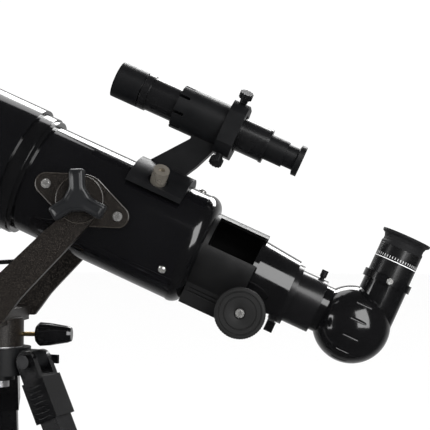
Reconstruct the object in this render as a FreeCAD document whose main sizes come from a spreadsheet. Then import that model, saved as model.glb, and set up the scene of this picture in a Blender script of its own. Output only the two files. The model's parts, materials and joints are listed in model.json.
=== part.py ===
import FreeCAD, Part
import math
import os
import Sketcher

# A short-tube refractor telescope on a yoke mount and a tripod.  Millimetres, +Z up.
# The optical tube is drawn in a frame of its own: X runs along the optical axis towards the
# eye end, Y points to the far side, Z points up towards the finder, and the origin lies on the
# altitude axis.  Each tube piece is then placed at the pivot and tilted.  The tripod and the
# yoke are drawn about the azimuth axis.

DOC = FreeCAD.newDocument("Telescope")
SHEET = DOC.addObject("Spreadsheet::Sheet", "Sizes")

# name, value, what it is (mm and degrees)
SIZES = [
    ("azimuth_x", -42.2, "azimuth axis, from the middle of the footprint"),
    ("azimuth_y", -57.1, "azimuth axis, from the middle of the footprint"),
    ("pivot_height", 768.0, "altitude axis above the floor"),
    ("yoke_offset", 77.0, "altitude axis forward of the azimuth axis"),
    ("tube_tilt", 24.5, "elevation of the tube as it stands"),
    ("fit_gap", 0.1, "between seated pieces"),
    ("running_gap", 0.05, "radial, shaft in its bore"),
    ("clear_gap", 0.3, "between faces that move past each other"),
    # optical tube
    ("tube_radius", 46.0, "main tube, outside"),
    ("tube_wall", 1.5, "main tube wall"),
    ("tube_front", -95.0, "main tube, front end"),
    ("tube_back", 88.0, "main tube, rear end"),
    ("baffle_radius", 33.0, "opening of the baffles"),
    ("baffle_rim", 8.0, "length of a baffle's rim"),
    ("baffle_wall", 1.2, "baffle sheet"),
    ("cell_radius", 51.0, "lens cell, outside"),
    ("cell_front", -112.0, "lens cell, front end"),
    ("cell_step", -53.0, "where the lens cell narrows to its lip"),
    ("cell_back", -49.5, "lens cell, rear end"),
    ("lip_radius", 49.75, "lip of the lens cell"),
    ("lens_radius", 40.0, "objective lenses"),
    ("lens_seat", -98.0, "shoulder that the objective rests on"),
    ("lens_seat_radius", 38.5, "clear opening at the shoulder"),
    ("lens_curve", 300.0, "radius of the lens surfaces"),
    ("crown_thickness", 8.0, "front lens, at its middle"),
    ("flint_thickness", 4.0, "rear lens, at its middle"),
    ("ring_thickness", 3.0, "lens retaining ring"),
    ("shield_radius", 54.0, "dew shield, outside"),
    ("shield_wall", 1.8, "dew shield wall"),
    ("shield_front", -190.0, "dew shield, front end"),
    ("shield_back", -64.0, "dew shield, rear end"),
    ("shield_grip", 16.0, "length that grips the lens cell"),
    ("rear_radius", 46.6, "rear cell, outside"),
    ("rear_face", 100.0, "rear cell, back face"),
    ("rear_round", 10.8, "rounding of the rear cell's edge"),
    ("rear_bore", 33.5, "opening for the focuser"),
    ("spigot_length", 18.0, "rear cell inside the tube"),
    ("spigot_wall", 3.0, "wall of that spigot"),
    ("tube_screw_x", 79.0, "screws through the tube wall"),
    ("tube_screw_radius", 1.5, "their shank"),
    # focuser
    ("hood_radius", 36.0, "focuser hood, outside"),
    ("hood_wall", 2.5, "focuser hood wall"),
    ("hood_end", 144.5, "focuser hood, open end"),
    ("window_front", 103.0, "window in the hood, front edge"),
    ("window_low", 9.5, "window, lower edge"),
    ("window_high", 33.0, "window, upper edge"),
    ("box_width", 54.0, "pinion box, side to side"),
    ("box_low", 41.3, "pinion box, depth below the axis"),
    ("box_back", 157.0, "pinion box, rear end"),
    ("drawtube_radius", 31.0, "drawtube, outside, at its front"),
    ("drawtube_end_radius", 28.0, "drawtube, outside, at its rear"),
    ("drawtube_wall", 3.0, "drawtube wall"),
    ("drawtube_front", 142.0, "drawtube, front edge"),
    ("drawtube_taper", 146.0, "where its taper starts"),
    ("drawtube_back", 176.4, "drawtube, rear end"),
    ("tongue_front", 98.0, "drawtube tongue, front end"),
    ("slot_half", 19.5, "half the width of the slot over the shaft"),
    ("slot_end", 170.8, "rear end of that slot"),
    ("tab_back", 178.0, "rear end of the drawtube's stop tab"),
    ("floor_top", 17.1, "drawtube floor, below the axis"),
    ("floor_wall", 2.0, "drawtube floor, thickness"),
    ("floor_back", 169.0, "drawtube floor, rear end"),
    ("shaft_x", 148.6, "focus shaft, along the tube"),
    ("shaft_low", 27.6, "focus shaft, below the axis"),
    ("shaft_radius", 2.5, "focus shaft"),
    ("shaft_reach", 52.0, "half the length of the focus shaft"),
    ("tooth_size", 0.8, "module of the rack and pinion"),
    ("pinion_width", 7.0, "face width of the pinion"),
    ("rack_front", 101.0, "rack, front end"),
    ("rack_back", 166.0, "rack, rear end"),
    ("knob_radius", 20.0, "focus knob"),
    ("knob_face", 55.0, "focus knob's face, from the middle"),
    ("knob_thickness", 10.0, "focus knob"),
    ("knob_hub", 9.0, "radius of the knob's hub"),
    ("hub_start", 32.0, "inner end of the knob's hub, from the middle"),
    # eye end
    ("flange_radius", 24.5, "eyepiece holder, flange"),
    ("flange_front", 176.5, "eyepiece holder, flange front"),
    ("holder_front", 181.0, "eyepiece holder, where its barrel starts"),
    ("holder_radius", 22.3, "eyepiece holder, barrel"),
    ("holder_back", 203.0, "eyepiece holder, rear end"),
    ("barrel_radius", 15.875, "standard 1.25 inch barrel"),
    ("holder_screw_x", 197.0, "eyepiece holder's thumbscrew"),
    ("nose_front", 184.0, "diagonal, front of its nosepiece"),
    ("collar_radius", 19.5, "diagonal, front collar"),
    ("ball_radius", 31.5, "diagonal, ball"),
    ("ball_wall", 3.0, "wall of the ball"),
    ("ball_x", 233.6, "ball, along the tube"),
    ("ball_low", 1.4, "ball, below the axis"),
    ("eye_axis", 245.3, "eyepiece axis, along the tube"),
    ("prism_half", 11.0, "half a side of the prism"),
    ("neck_radius", 18.1, "diagonal, upper barrel"),
    ("neck_top", 39.6, "diagonal, where its top collar starts"),
    ("top_radius", 20.0, "diagonal, top collar"),
    ("top_end", 46.0, "diagonal, top"),
    ("eyepiece_radius", 17.6, "eyepiece body"),
    ("eyepiece_top", 70.0, "eyepiece body, top"),
    ("eyepiece_foot", 20.0, "eyepiece barrel, lower end"),
    ("cup_neck", 16.9, "eyecup, at its waist"),
    ("cup_radius", 20.2, "eyecup, at its rim"),
    ("cup_top", 81.6, "eyecup, top"),
    # finder
    ("finder_axis", 101.7, "finder axis above the tube axis"),
    ("finder_front", -24.0, "finder, front of its hood"),
    ("finder_hood_back", -1.0, "finder hood, rear end"),
    ("finder_radius", 15.0, "finder hood and ring"),
    ("finder_tube_radius", 14.0, "finder tube"),
    ("finder_wall", 1.4, "finder tube wall"),
    ("finder_back", 112.0, "finder tube, rear end"),
    ("finder_eye_radius", 10.8, "finder eyepiece"),
    ("finder_eye_step", 128.0, "where the finder eyepiece narrows"),
    ("finder_eye_end", 142.5, "finder eyepiece, rear end"),
    ("sleeve_radius", 18.4, "finder bracket sleeve"),
    ("sleeve_front", 31.0, "sleeve, front end"),
    ("sleeve_bore", 16.4, "sleeve, inside"),
    ("flange_x", 73.0, "finder bracket flange, front"),
    ("flange_end", 87.0, "finder bracket flange, rear"),
    ("flange_half", 22.7, "half the flange's height"),
    ("finder_screw_x", 80.0, "finder thumbscrews"),
    ("finder_screw_neck", 27.0, "their necks, from the finder's axis"),
    ("saddle_radius", 52.5, "finder bracket saddle, outside"),
    ("saddle_front", 23.0, "saddle, front"),
    ("saddle_back", 70.0, "saddle, rear"),
    ("saddle_half_angle", 51.0, "saddle, to each side of the top"),
    ("web_thickness", 14.0, "web between saddle and sleeve"),
    ("nut_x", 46.5, "thumb nuts, along the tube"),
    ("nut_angle", 42.0, "thumb nuts, from the top"),
    ("nut_radius", 6.5, "thumb nut"),
    ("nut_height", 13.0, "thumb nut"),
    ("stud_radius", 2.5, "finder stud"),
    # altitude joint and yoke
    ("plate_face", 48.5, "altitude plate's face, from the middle"),
    ("plate_hub", 20.5, "altitude plate, radius at the pivot"),
    ("plate_end", 9.0, "altitude plate, radius at its ends"),
    ("plate_reach", 31.0, "altitude plate, screw from the pivot"),
    ("pivot_radius", 4.0, "altitude stud"),
    ("arm_inside", 51.5, "yoke arm, inner face from the middle"),
    ("arm_thickness", 7.0, "yoke arm"),
    ("eye_radius", 18.85, "yoke arm, round its pivot"),
    ("lobe_knob_face", 70.0, "altitude knob's face, from the middle"),
    ("lobe_reach", 23.0, "altitude knob, reach of a lobe"),
    ("lobe_radius", 5.5, "altitude knob, tip of a lobe"),
    ("lobe_core", 10.5, "altitude knob, core"),
    ("yoke_floor", 96.0, "underside of the yoke's cross piece, below the pivot"),
    ("yoke_plate", 8.0, "thickness of the cross piece"),
    ("cross_front", 13.0, "cross piece, forward of the azimuth axis"),
    ("cross_back", 24.0, "cross piece, behind the azimuth axis"),
    ("post_radius", 20.0, "yoke post"),
    ("post_low", 118.0, "yoke post, lower end below the pivot"),
    ("lock_low", 108.5, "azimuth lock, below the pivot"),
    ("lock_rod_radius", 1.85, "azimuth lock rod"),
    ("lock_knob_start", 31.0, "azimuth lock knob, from the azimuth axis"),
    ("lock_knob_end", 60.5, "azimuth lock knob, far end"),
    ("lock_knob_radius", 9.8, "azimuth lock knob"),
    ("handle_low", 41.0, "pan handle, below the pivot"),
    ("handle_side", 67.0, "pan handle, from the middle"),
    ("handle_radius", 2.1, "pan handle rod"),
    ("handle_droop", 3.0, "pan handle, slope in degrees"),
    ("handle_length", 175.0, "pan handle rod"),
    ("grip_length", 80.0, "pan handle grip"),
    ("grip_radius", 9.0, "pan handle grip"),
    # tripod
    ("washer_thickness", 1.0, "azimuth washer"),
    ("hub_radius", 26.0, "tripod hub"),
    ("hub_depth", 22.0, "tripod hub"),
    ("bolt_radius", 5.0, "azimuth bolt"),
    ("hinge_reach", 34.0, "leg hinge, from the azimuth axis"),
    ("hinge_drop", 10.0, "leg hinge, below the hub's top"),
    ("hinge_bolt_radius", 3.0, "leg hinge bolt"),
    ("ear_width", 16.0, "hub ear, side to side"),
    ("ear_radius", 8.5, "hub ear, round its hinge"),
    ("cheek_width", 5.0, "cheek of a leg head"),
    ("leg_splay", 25.0, "leg, from the vertical"),
    ("first_leg", -20.0, "direction of the first leg"),
    ("leg_width", 22.0, "upper leg, side to side"),
    ("leg_depth", 16.0, "upper leg, front to back"),
    ("leg_wall", 1.5, "leg tube wall"),
    ("head_length", 50.0, "leg head, below its hinge"),
    ("leg_start", 24.0, "upper leg, below its hinge"),
    ("leg_end", 332.0, "upper leg, lower end below its hinge"),
    ("collar_length", 32.0, "leg collar"),
    ("collar_wall", 3.0, "leg collar, round the leg"),
    ("slide_start", 62.0, "lower leg, upper end below its hinge"),
    ("foot_length", 34.0, "foot"),
    ("foot_radius", 13.0, "foot"),
    ("leg_knob_radius", 11.0, "leg lock knob"),
    ("brace_place", 250.0, "brace, down the leg"),
    ("brace_width", 14.0, "brace"),
    ("brace_thickness", 3.0, "brace"),
    ("tray_radius", 82.0, "accessory tray"),
    ("tray_thickness", 3.0, "accessory tray"),
    ("tray_rim", 9.0, "accessory tray, height of its rim"),
    ("tray_hole", 16.2, "tray hole for a 1.25 inch eyepiece"),
]

X_AXIS = (1, 0, 0)
Y_AXIS = (0, 1, 0)
Z_AXIS = (0, 0, 1)
NEAR = 90.0     # turn about X that points a piece's +Z to the near side
FAR = -90.0     # turn about X that points it to the far side


class Size:
    """A length or angle with its number and the sheet expression that gives it."""

    def __init__(self, number, text):
        self.number = number
        self.text = text

    def __add__(self, other):
        return Size(self.number + num(other), "(%s + %s)" % (self.text, txt(other)))

    def __radd__(self, other):
        return Size(num(other) + self.number, "(%s + %s)" % (txt(other), self.text))

    def __sub__(self, other):
        return Size(self.number - num(other), "(%s - %s)" % (self.text, txt(other)))

    def __rsub__(self, other):
        return Size(num(other) - self.number, "(%s - %s)" % (txt(other), self.text))

    def __mul__(self, other):
        return Size(self.number * num(other), "(%s * %s)" % (self.text, txt(other)))

    def __rmul__(self, other):
        return Size(num(other) * self.number, "(%s * %s)" % (txt(other), self.text))

    def __truediv__(self, other):
        return Size(self.number / num(other), "(%s / %s)" % (self.text, txt(other)))

    def __neg__(self):
        return Size(-self.number, "(0 - %s)" % self.text)


def num(value):
    return value.number if isinstance(value, Size) else float(value)


def txt(value):
    return value.text if isinstance(value, Size) else "(%.6f)" % value


class Sizes:
    """Every named value of the sheet, as a Size."""


S = Sizes()
for row, (alias, amount, note) in enumerate(SIZES, start=1):
    SHEET.set("A%d" % row, alias)
    SHEET.set("B%d" % row, "%g" % amount)
    SHEET.setAlias("B%d" % row, alias)
    SHEET.set("C%d" % row, note)
    setattr(S, alias, Size(amount, "Sizes." + alias))
DOC.recompute()


def cosine(angle):
    return Size(math.cos(math.radians(num(angle))), "cos(%s)" % txt(angle))


def sine(angle):
    return Size(math.sin(math.radians(num(angle))), "sin(%s)" % txt(angle))


def tangent(angle):
    return Size(math.tan(math.radians(num(angle))), "tan(%s)" % txt(angle))


def bind(thing, prop, value):
    """Tie a property to the sheet, or set it where it is a plain number."""
    if isinstance(value, Size):
        thing.setExpression(prop, value.text)
    else:
        setattr(thing, prop, value)


def place(thing, at=(0, 0, 0), spin=None):
    """Put a piece at a point, turned by spin, which is (axis, angle)."""
    base = FreeCAD.Vector(num(at[0]), num(at[1]), num(at[2]))
    turn = FreeCAD.Rotation()
    if spin:
        turn = FreeCAD.Rotation(FreeCAD.Vector(*spin[0]), num(spin[1]))
    thing.Placement = FreeCAD.Placement(base, turn)
    for letter, coordinate in zip("xyz", at):
        if isinstance(coordinate, Size):
            thing.setExpression("Placement.Base." + letter, coordinate.text)
    if spin and isinstance(spin[1], Size):
        thing.setExpression("Placement.Rotation.Angle", spin[1].text)
    return thing


ALONG = {"X": (Y_AXIS, 90.0), "Y": (X_AXIS, -90.0), "Z": None, "-Y": (X_AXIS, 90.0)}


def rod(radius, length, at=(0, 0, 0), along="Z"):
    thing = DOC.addObject("Part::Cylinder", "Rod")
    bind(thing, "Radius", radius)
    bind(thing, "Height", length)
    return place(thing, at, ALONG[along])


def taper(radius_1, radius_2, length, at=(0, 0, 0), along="Z"):
    thing = DOC.addObject("Part::Cone", "Taper")
    bind(thing, "Radius1", radius_1)
    bind(thing, "Radius2", radius_2)
    bind(thing, "Height", length)
    return place(thing, at, ALONG[along])


def block(length, width, height, at=(0, 0, 0), spin=None):
    """A box whose corner of lowest X, Y and Z lies at the point given."""
    thing = DOC.addObject("Part::Box", "Block")
    bind(thing, "Length", length)
    bind(thing, "Width", width)
    bind(thing, "Height", height)
    return place(thing, at, spin)


def ball(radius, at=(0, 0, 0)):
    thing = DOC.addObject("Part::Sphere", "Ball")
    bind(thing, "Radius", radius)
    return place(thing, at)


def join(*pieces):
    thing = DOC.addObject("Part::MultiFuse", "Join")
    thing.Shapes = list(pieces)
    return thing


def cut(piece, *tools):
    thing = DOC.addObject("Part::Cut", "Cut")
    thing.Base = piece
    thing.Tool = tools[0] if len(tools) == 1 else join(*tools)
    return thing


def common(piece, other):
    thing = DOC.addObject("Part::Common", "Common")
    thing.Base = piece
    thing.Tool = other
    return thing


def group(*pieces):
    """Separate solids that go together, or one piece that is placed again."""
    thing = DOC.addObject("Part::Compound", "Group")
    thing.Links = list(pieces)
    return thing


def sketch_in(body, role, points):
    """A closed outline on one of the body's origin planes, each point tied to the sheet."""
    plane = [part for part in body.Origin.OriginFeatures if part.Role == role][0]
    sketch = body.newObject("Sketcher::SketchObject", "Outline")
    sketch.AttachmentSupport = [(plane, "")]
    sketch.MapMode = "FlatFace"
    count = len(points)
    corners = [FreeCAD.Vector(num(first), num(second), 0) for first, second in points]
    for index in range(count):
        line = Part.LineSegment(corners[index], corners[(index + 1) % count])
        sketch.addGeometry(line)
    for index in range(count):
        following = (index + 1) % count
        sketch.addConstraint(Sketcher.Constraint("Coincident", index, 2, following, 1))
    for index, point in enumerate(points):
        for kind, value in zip(("DistanceX", "DistanceY"), point):
            constraint = Sketcher.Constraint(kind, -1, 1, index, 1, num(value))
            number = sketch.addConstraint(constraint)
            if isinstance(value, Size):
                sketch.setExpression("Constraints[%d]" % number, value.text)
    return sketch


def turned(*profile):
    """A piece turned about X from an outline of (along, radius) points."""
    body = DOC.addObject("PartDesign::Body", "Turned")
    sketch = sketch_in(body, "XZ_Plane", profile)
    feature = body.newObject("PartDesign::Revolution", "Turn")
    feature.Profile = sketch
    feature.ReferenceAxis = (sketch, ["H_Axis"])
    feature.Angle = 360
    return body


def plate(points, thickness, start):
    """A flat piece with its outline in X and Z, from Y = start towards +Y."""
    body = DOC.addObject("PartDesign::Body", "Plate")
    sketch = sketch_in(body, "XZ_Plane", points)
    feature = body.newObject("PartDesign::Pad", "Pad")
    feature.Profile = sketch
    bind(feature, "Length", thickness)
    feature.Reversed = True
    return place(body, (0, start, 0))


def soften(body, radius, along, circle_radius):
    """Round the circular edge of a turned body that lies at this place along its axis."""
    DOC.recompute()
    base = body.Tip
    names = []
    for index, edge in enumerate(base.Shape.Edges, start=1):
        curve = edge.Curve
        if isinstance(curve, Part.Circle):
            same_place = abs(curve.Center.x - num(along)) < 0.01
            same_radius = abs(curve.Radius - num(circle_radius)) < 0.01
            if same_place and same_radius:
                names.append("Edge%d" % index)
    fillet = body.newObject("PartDesign::Fillet", "Round")
    fillet.Base = (base, names)
    bind(fillet, "Radius", radius)
    body.Tip = fillet
    return body


def cross_screw(head_radius, head_height, shank_radius, shank_length):
    """A cross-head screw along Z, its head standing on Z = 0."""
    slot_width = 1.1
    slot_length = head_radius * 1.1
    slot_depth = head_height * 0.6
    floor = head_height - slot_depth
    low_head = rod(head_radius, head_height * 0.5)
    top_head = taper(head_radius, head_radius * 0.72, head_height * 0.5, (0, 0, head_height * 0.5))
    shank = rod(shank_radius, shank_length, (0, 0, -shank_length))
    first = block(slot_length, slot_width, slot_depth + 1, (slot_length * -0.5, -slot_width / 2, floor))
    second = block(slot_width, slot_length, slot_depth + 1, (-slot_width / 2, slot_length * -0.5, floor))
    return cut(join(low_head, top_head, shank), first, second)


def thumb_screw(head_radius, head_height, neck_radius, neck_length, shank_radius, shank_length):
    """A knurled thumbscrew along Z: its neck stands on Z = 0 and its shank goes below."""
    shank = rod(shank_radius, shank_length + 0.5, (0, 0, -shank_length))
    neck = rod(neck_radius, neck_length + 0.5)
    head = rod(head_radius, head_height, (0, 0, neck_length))
    notches = []
    notch_count = 12
    for index in range(notch_count):
        angle = math.radians(360.0 * index / notch_count)
        at = (head_radius * math.cos(angle), head_radius * math.sin(angle), neck_length)
        notches.append(rod(head_radius * 0.13, head_height, at))
    return cut(join(shank, neck, head), *notches)


SUBPARTS = []


def keep(label, thing):
    """Name a finished sub-part, which is written under this name."""
    thing.Label = label
    SUBPARTS.append(thing)
    return thing


PIVOT_X = S.azimuth_x + S.yoke_offset


def on_tube(label, *pieces):
    """Pieces drawn in the tube's frame, placed at the pivot and tilted."""
    thing = group(*pieces)
    place(thing, (PIVOT_X, S.azimuth_y, S.pivot_height), (Y_AXIS, S.tube_tilt))
    return keep(label, thing)


def on_pivot(label, *pieces):
    """Pieces drawn upright about the altitude axis, such as the yoke's."""
    thing = group(*pieces)
    place(thing, (PIVOT_X, S.azimuth_y, S.pivot_height))
    return keep(label, thing)


def radial(distance, along, angle):
    """A point at this distance from the tube's axis; the angle runs from the top to the near side."""
    return (along, distance * sine(angle) * -1, distance * cosine(angle))


# ---- optical tube ----

def ring(front, back, outer, inner):
    return turned((front, inner), (front, outer), (back, outer), (back, inner))


tube_bore = S.tube_radius - S.tube_wall
screw_angles = (0.0, 120.0, 240.0)
stud_angles = (S.nut_angle, -S.nut_angle)
plate_screws_x = (-S.plate_reach, S.plate_reach)


def radial_rod(radius, length, start, along, angle):
    """A rod that points away from the tube's axis."""
    return place(rod(radius, length), radial(start, along, angle), (X_AXIS, angle))


def wall_holes():
    """Holes in the tube wall: rear cell screws, finder studs, plate screws and pivot studs."""
    holes = []
    reach = S.tube_wall + 6
    start = tube_bore - 3
    for angle in screw_angles:
        holes.append(radial_rod(S.tube_screw_radius + S.running_gap, reach, start, S.tube_screw_x, angle))
    for angle in stud_angles:
        holes.append(radial_rod(S.stud_radius + S.running_gap, reach, start, S.nut_x, angle))
    for side in (NEAR, FAR):
        for along in plate_screws_x:
            holes.append(radial_rod(2.0 + S.running_gap, reach, start, along, side))
        holes.append(radial_rod(S.pivot_radius + S.running_gap, reach, start, 0, side))
    return holes


main_tube = cut(ring(S.tube_front, S.tube_back, S.tube_radius, tube_bore), *wall_holes())
on_tube("main_tube", main_tube)

baffles = []
for baffle_back in (-20.0, 66.0):
    rim_inner = tube_bore - S.fit_gap - S.baffle_wall
    baffles.append(turned(
        (baffle_back - S.baffle_rim, rim_inner),
        (baffle_back - S.baffle_rim, tube_bore - S.fit_gap),
        (baffle_back, tube_bore - S.fit_gap),
        (baffle_back, S.baffle_radius),
        (baffle_back - S.baffle_wall, S.baffle_radius),
        (baffle_back - S.baffle_wall, rim_inner)))
on_tube("tube_baffles", *baffles)

lens_room = S.lens_radius + S.fit_gap
lens_cell = turned(
    (S.cell_front, lens_room),
    (S.cell_front, S.cell_radius),
    (S.cell_step, S.cell_radius),
    (S.cell_step, S.lip_radius),
    (S.cell_back, S.lip_radius),
    (S.cell_back, S.tube_radius + S.fit_gap),
    (S.tube_front - S.fit_gap, S.tube_radius + S.fit_gap),
    (S.tube_front - S.fit_gap, S.lens_seat_radius),
    (S.lens_seat, S.lens_seat_radius),
    (S.lens_seat, lens_room))
on_tube("lens_cell", lens_cell)

# Two lenses with one shared curve: the front one is double convex, the rear one has a flat back.
crown_back = S.lens_seat - S.flint_thickness - S.fit_gap
lens_blank = rod(S.lens_radius, 30, (S.lens_seat - 29, 0, 0), "X")
shared_ball = ball(S.lens_curve, (crown_back - S.lens_curve, 0, 0))
front_ball = ball(S.lens_curve, (crown_back - S.crown_thickness + S.lens_curve, 0, 0))
crown = common(common(lens_blank, shared_ball), front_ball)
flint_blank = rod(S.lens_radius, 30, (S.lens_seat - 30, 0, 0), "X")
flint_ball = ball(S.lens_curve, (S.lens_seat - S.flint_thickness - S.lens_curve, 0, 0))
flint_front = block(30, 100, 100, (S.lens_seat - S.flint_thickness - 36, -50, -50))
flint = cut(flint_blank, flint_ball, flint_front)
on_tube("objective_lenses", crown, flint)

ring_back = S.lens_seat - 10.2
on_tube("lens_retaining_ring", ring(ring_back - S.ring_thickness, ring_back, lens_room - 0.02,
                                    S.lens_seat_radius))

shield_inside = S.shield_radius - S.shield_wall
grip_inside = S.cell_radius + S.fit_gap
on_tube("dew_shield", turned(
    (S.shield_front, shield_inside),
    (S.shield_front, S.shield_radius),
    (S.shield_back, S.shield_radius),
    (S.shield_back, grip_inside),
    (S.shield_back - S.shield_grip, grip_inside),
    (S.shield_back - S.shield_grip, shield_inside)))

spigot_radius = tube_bore - S.fit_gap
spigot_bore = spigot_radius - S.spigot_wall
rear_cell = turned(
    (S.tube_back - S.spigot_length, spigot_bore),
    (S.tube_back - S.spigot_length, spigot_radius),
    (S.tube_back + S.fit_gap, spigot_radius),
    (S.tube_back + S.fit_gap, S.rear_radius),
    (S.rear_face, S.rear_radius),
    (S.rear_face, S.rear_bore),
    (S.rear_face - 3, S.rear_bore),
    (S.rear_face - 3, S.rear_bore + 2.5),
    (S.tube_back, spigot_bore))
soften(rear_cell, S.rear_round, S.rear_face, S.rear_radius)
cell_holes = []
for angle in screw_angles:
    cell_holes.append(radial_rod(S.tube_screw_radius + S.running_gap, 12, tube_bore - 8,
                                 S.tube_screw_x, angle))
on_tube("rear_cell", cut(rear_cell, *cell_holes))

tube_screws = []
for angle in screw_angles:
    screw = cross_screw(S.tube_screw_radius * 2.1, 1.8, S.tube_screw_radius, 5.0)
    tube_screws.append(place(screw, radial(S.tube_radius + 0.02, S.tube_screw_x, angle),
                             (X_AXIS, angle)))

# ---- altitude plates, their screws, studs and washers ----


def altitude_plate(side):
    """A long plate saddled on the tube: a wide middle and two narrow ends."""
    thickness = S.plate_face - 36
    centre = rod(S.plate_hub, thickness, (0, S.plate_face * -1, 0), "Y")
    ends = []
    for along in plate_screws_x:
        ends.append(rod(S.plate_end, thickness, (along, S.plate_face * -1, 0), "Y"))
    # the straight flanks touch the middle circle and the end circle
    lean = math.asin((num(S.plate_hub) - num(S.plate_end)) / num(S.plate_reach))
    flank = ((S.plate_hub * math.sin(lean), S.plate_hub * math.cos(lean)),
             (S.plate_reach + S.plate_end * math.sin(lean), S.plate_end * math.cos(lean)))
    outline = [flank[0], flank[1], (flank[1][0], -flank[1][1]), (flank[0][0], -flank[0][1]),
               (-flank[0][0], -flank[0][1]), (-flank[1][0], -flank[1][1]),
               (-flank[1][0], flank[1][1]), (-flank[0][0], flank[0][1])]
    web = plate(outline, thickness, S.plate_face * -1)
    holes = [rod(S.tube_radius + S.fit_gap, 120, (-60, 0, 0), "X")]
    holes.append(rod(S.pivot_radius + S.running_gap, 30, (0, S.plate_face * -1 - 1, 0), "Y"))
    for along in plate_screws_x:
        holes.append(rod(2.0 + S.running_gap, 30, (along, S.plate_face * -1 - 1, 0), "Y"))
    body = group(cut(join(centre, ends[0], ends[1], web), *holes))
    return place(body, (0, 0, 0), (Z_AXIS, 0.0 if side == NEAR else 180.0))


on_tube("altitude_plates", altitude_plate(NEAR), altitude_plate(FAR))

plate_screws = []
altitude_studs = []
stud_length = S.lobe_knob_face - 5 - (tube_bore - 0.7)
for side in (NEAR, FAR):
    for along in plate_screws_x:
        screw = cross_screw(3.85, 2.4, 2.0, 6.0)
        plate_screws.append(place(screw, radial(S.plate_face + 0.02, along, side), (X_AXIS, side)))
    head = radial_rod(7.0, 2.0, tube_bore - 2.7, 0, side)
    shank = radial_rod(S.pivot_radius, stud_length, tube_bore - 0.8, 0, side)
    altitude_studs.append(join(head, shank))
    washer = radial_rod(11.0, S.arm_inside - S.plate_face - 0.1, S.plate_face + 0.05, 0, side)
    hole = radial_rod(S.pivot_radius + S.running_gap, 10, S.plate_face - 2, 0, side)
    altitude_studs.append(cut(washer, hole))
on_tube("tube_screws", *tube_screws, *plate_screws)
on_tube("altitude_studs", *altitude_studs)

# ---- focuser ----

guide_radius = S.drawtube_radius + S.running_gap


def focuser_housing():
    """A hood with a window, a pinion box below it and three guide pads for the drawtube."""
    hood = ring(S.rear_face, S.hood_end, S.hood_radius, S.hood_radius - S.hood_wall)
    spigot = ring(S.rear_face - 5, S.rear_face + 1, S.rear_bore - S.fit_gap, guide_radius + 0.4)
    box_height = S.box_low - 8
    box_body = block(S.box_back - S.rear_face, S.box_width, box_height,
                     (S.rear_face, S.box_width / -2, -S.box_low))
    box_bore = rod(S.hood_radius - S.hood_wall, 90, (S.rear_face - 20, 0, 0), "X")
    pads = []
    for angle in (0.0, 100.0, -100.0):
        pad = block(S.hood_end - S.rear_face - 1, 8, S.hood_wall + 3,
                    (S.rear_face, -4, guide_radius - 1))
        pads.append(place(group(pad), (0, 0, 0), (X_AXIS, angle)))
    pad_bore = rod(guide_radius, 90, (S.rear_face - 20, 0, 0), "X")
    pad_round = rod(S.hood_radius - 0.5, 90, (S.rear_face - 20, 0, 0), "X")
    pad_set = common(cut(join(*pads), pad_bore), pad_round)
    shell = join(hood, spigot, cut(box_body, box_bore), pad_set)
    window = block(60, 40, S.window_high - S.window_low, (S.window_front, -45, S.window_low))
    pocket = block(20, S.pinion_width + 2, 14, (S.shaft_x - 10, (S.pinion_width + 2) / -2,
                                                -S.shaft_low - 7.5))
    shaft_hole = rod(S.shaft_radius + S.running_gap, 90, (S.shaft_x, -45, -S.shaft_low), "Y")
    lines = []
    for low in (13.0, 16.5, 27.0, 30.0):
        for face in (S.box_width / -2 - 1, S.box_width / 2 - 1):
            lines.append(block(70, 2, 1.2, (S.rear_face + 3, face, low * -1 - 1.2)))
    return cut(shell, window, pocket, shaft_hole, *lines)


on_tube("focuser_housing", focuser_housing())


def drawtube():
    """A tapered tube with a slot below for the shaft, a floor for the rack and a front tongue."""
    wall = S.drawtube_wall
    radius = S.drawtube_radius
    end_radius = S.drawtube_end_radius
    shell = turned(
        (S.drawtube_front, radius - wall), (S.drawtube_front, radius), (S.drawtube_taper, radius),
        (S.drawtube_back, end_radius), (S.drawtube_back, end_radius - wall),
        (S.drawtube_taper, radius - wall))
    tongue_ring = ring(S.tongue_front, S.drawtube_front + 1, radius, radius - wall)
    tongue_room = block(60, 80, 26, (S.tongue_front - 5, -40, -36))
    tongue = common(tongue_ring, tongue_room)
    floor_low = -S.floor_top - S.floor_wall
    floor_length = S.floor_back - S.tongue_front
    floor_plate = block(floor_length, 70, S.floor_wall, (S.tongue_front, -35, floor_low))
    taper_drop = S.drawtube_radius - S.drawtube_end_radius
    floor_round = rod(radius - taper_drop - 0.5, 90, (S.tongue_front - 5, 0, 0), "X")
    tongue_floor = common(floor_plate, floor_round)
    slot = block(S.slot_end - S.tongue_front + 5, S.slot_half * 2, 20,
                 (S.tongue_front - 5, -S.slot_half, floor_low - 20))
    stop_tab = block(S.tab_back - S.slot_end, 6, 9, (S.slot_end, -3, -35))
    return join(cut(join(shell, tongue), slot), tongue_floor, stop_tab)


on_tube("drawtube", drawtube())

# The rack and its pinion share one tooth size, and one rack tooth gap faces the shaft at rest.
pinion_teeth = 12
tooth_pitch = S.tooth_size * math.pi
pitch_radius = S.tooth_size * (pinion_teeth / 2.0)
backlash = 0.30
pressure = math.tan(math.radians(20.0))


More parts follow.
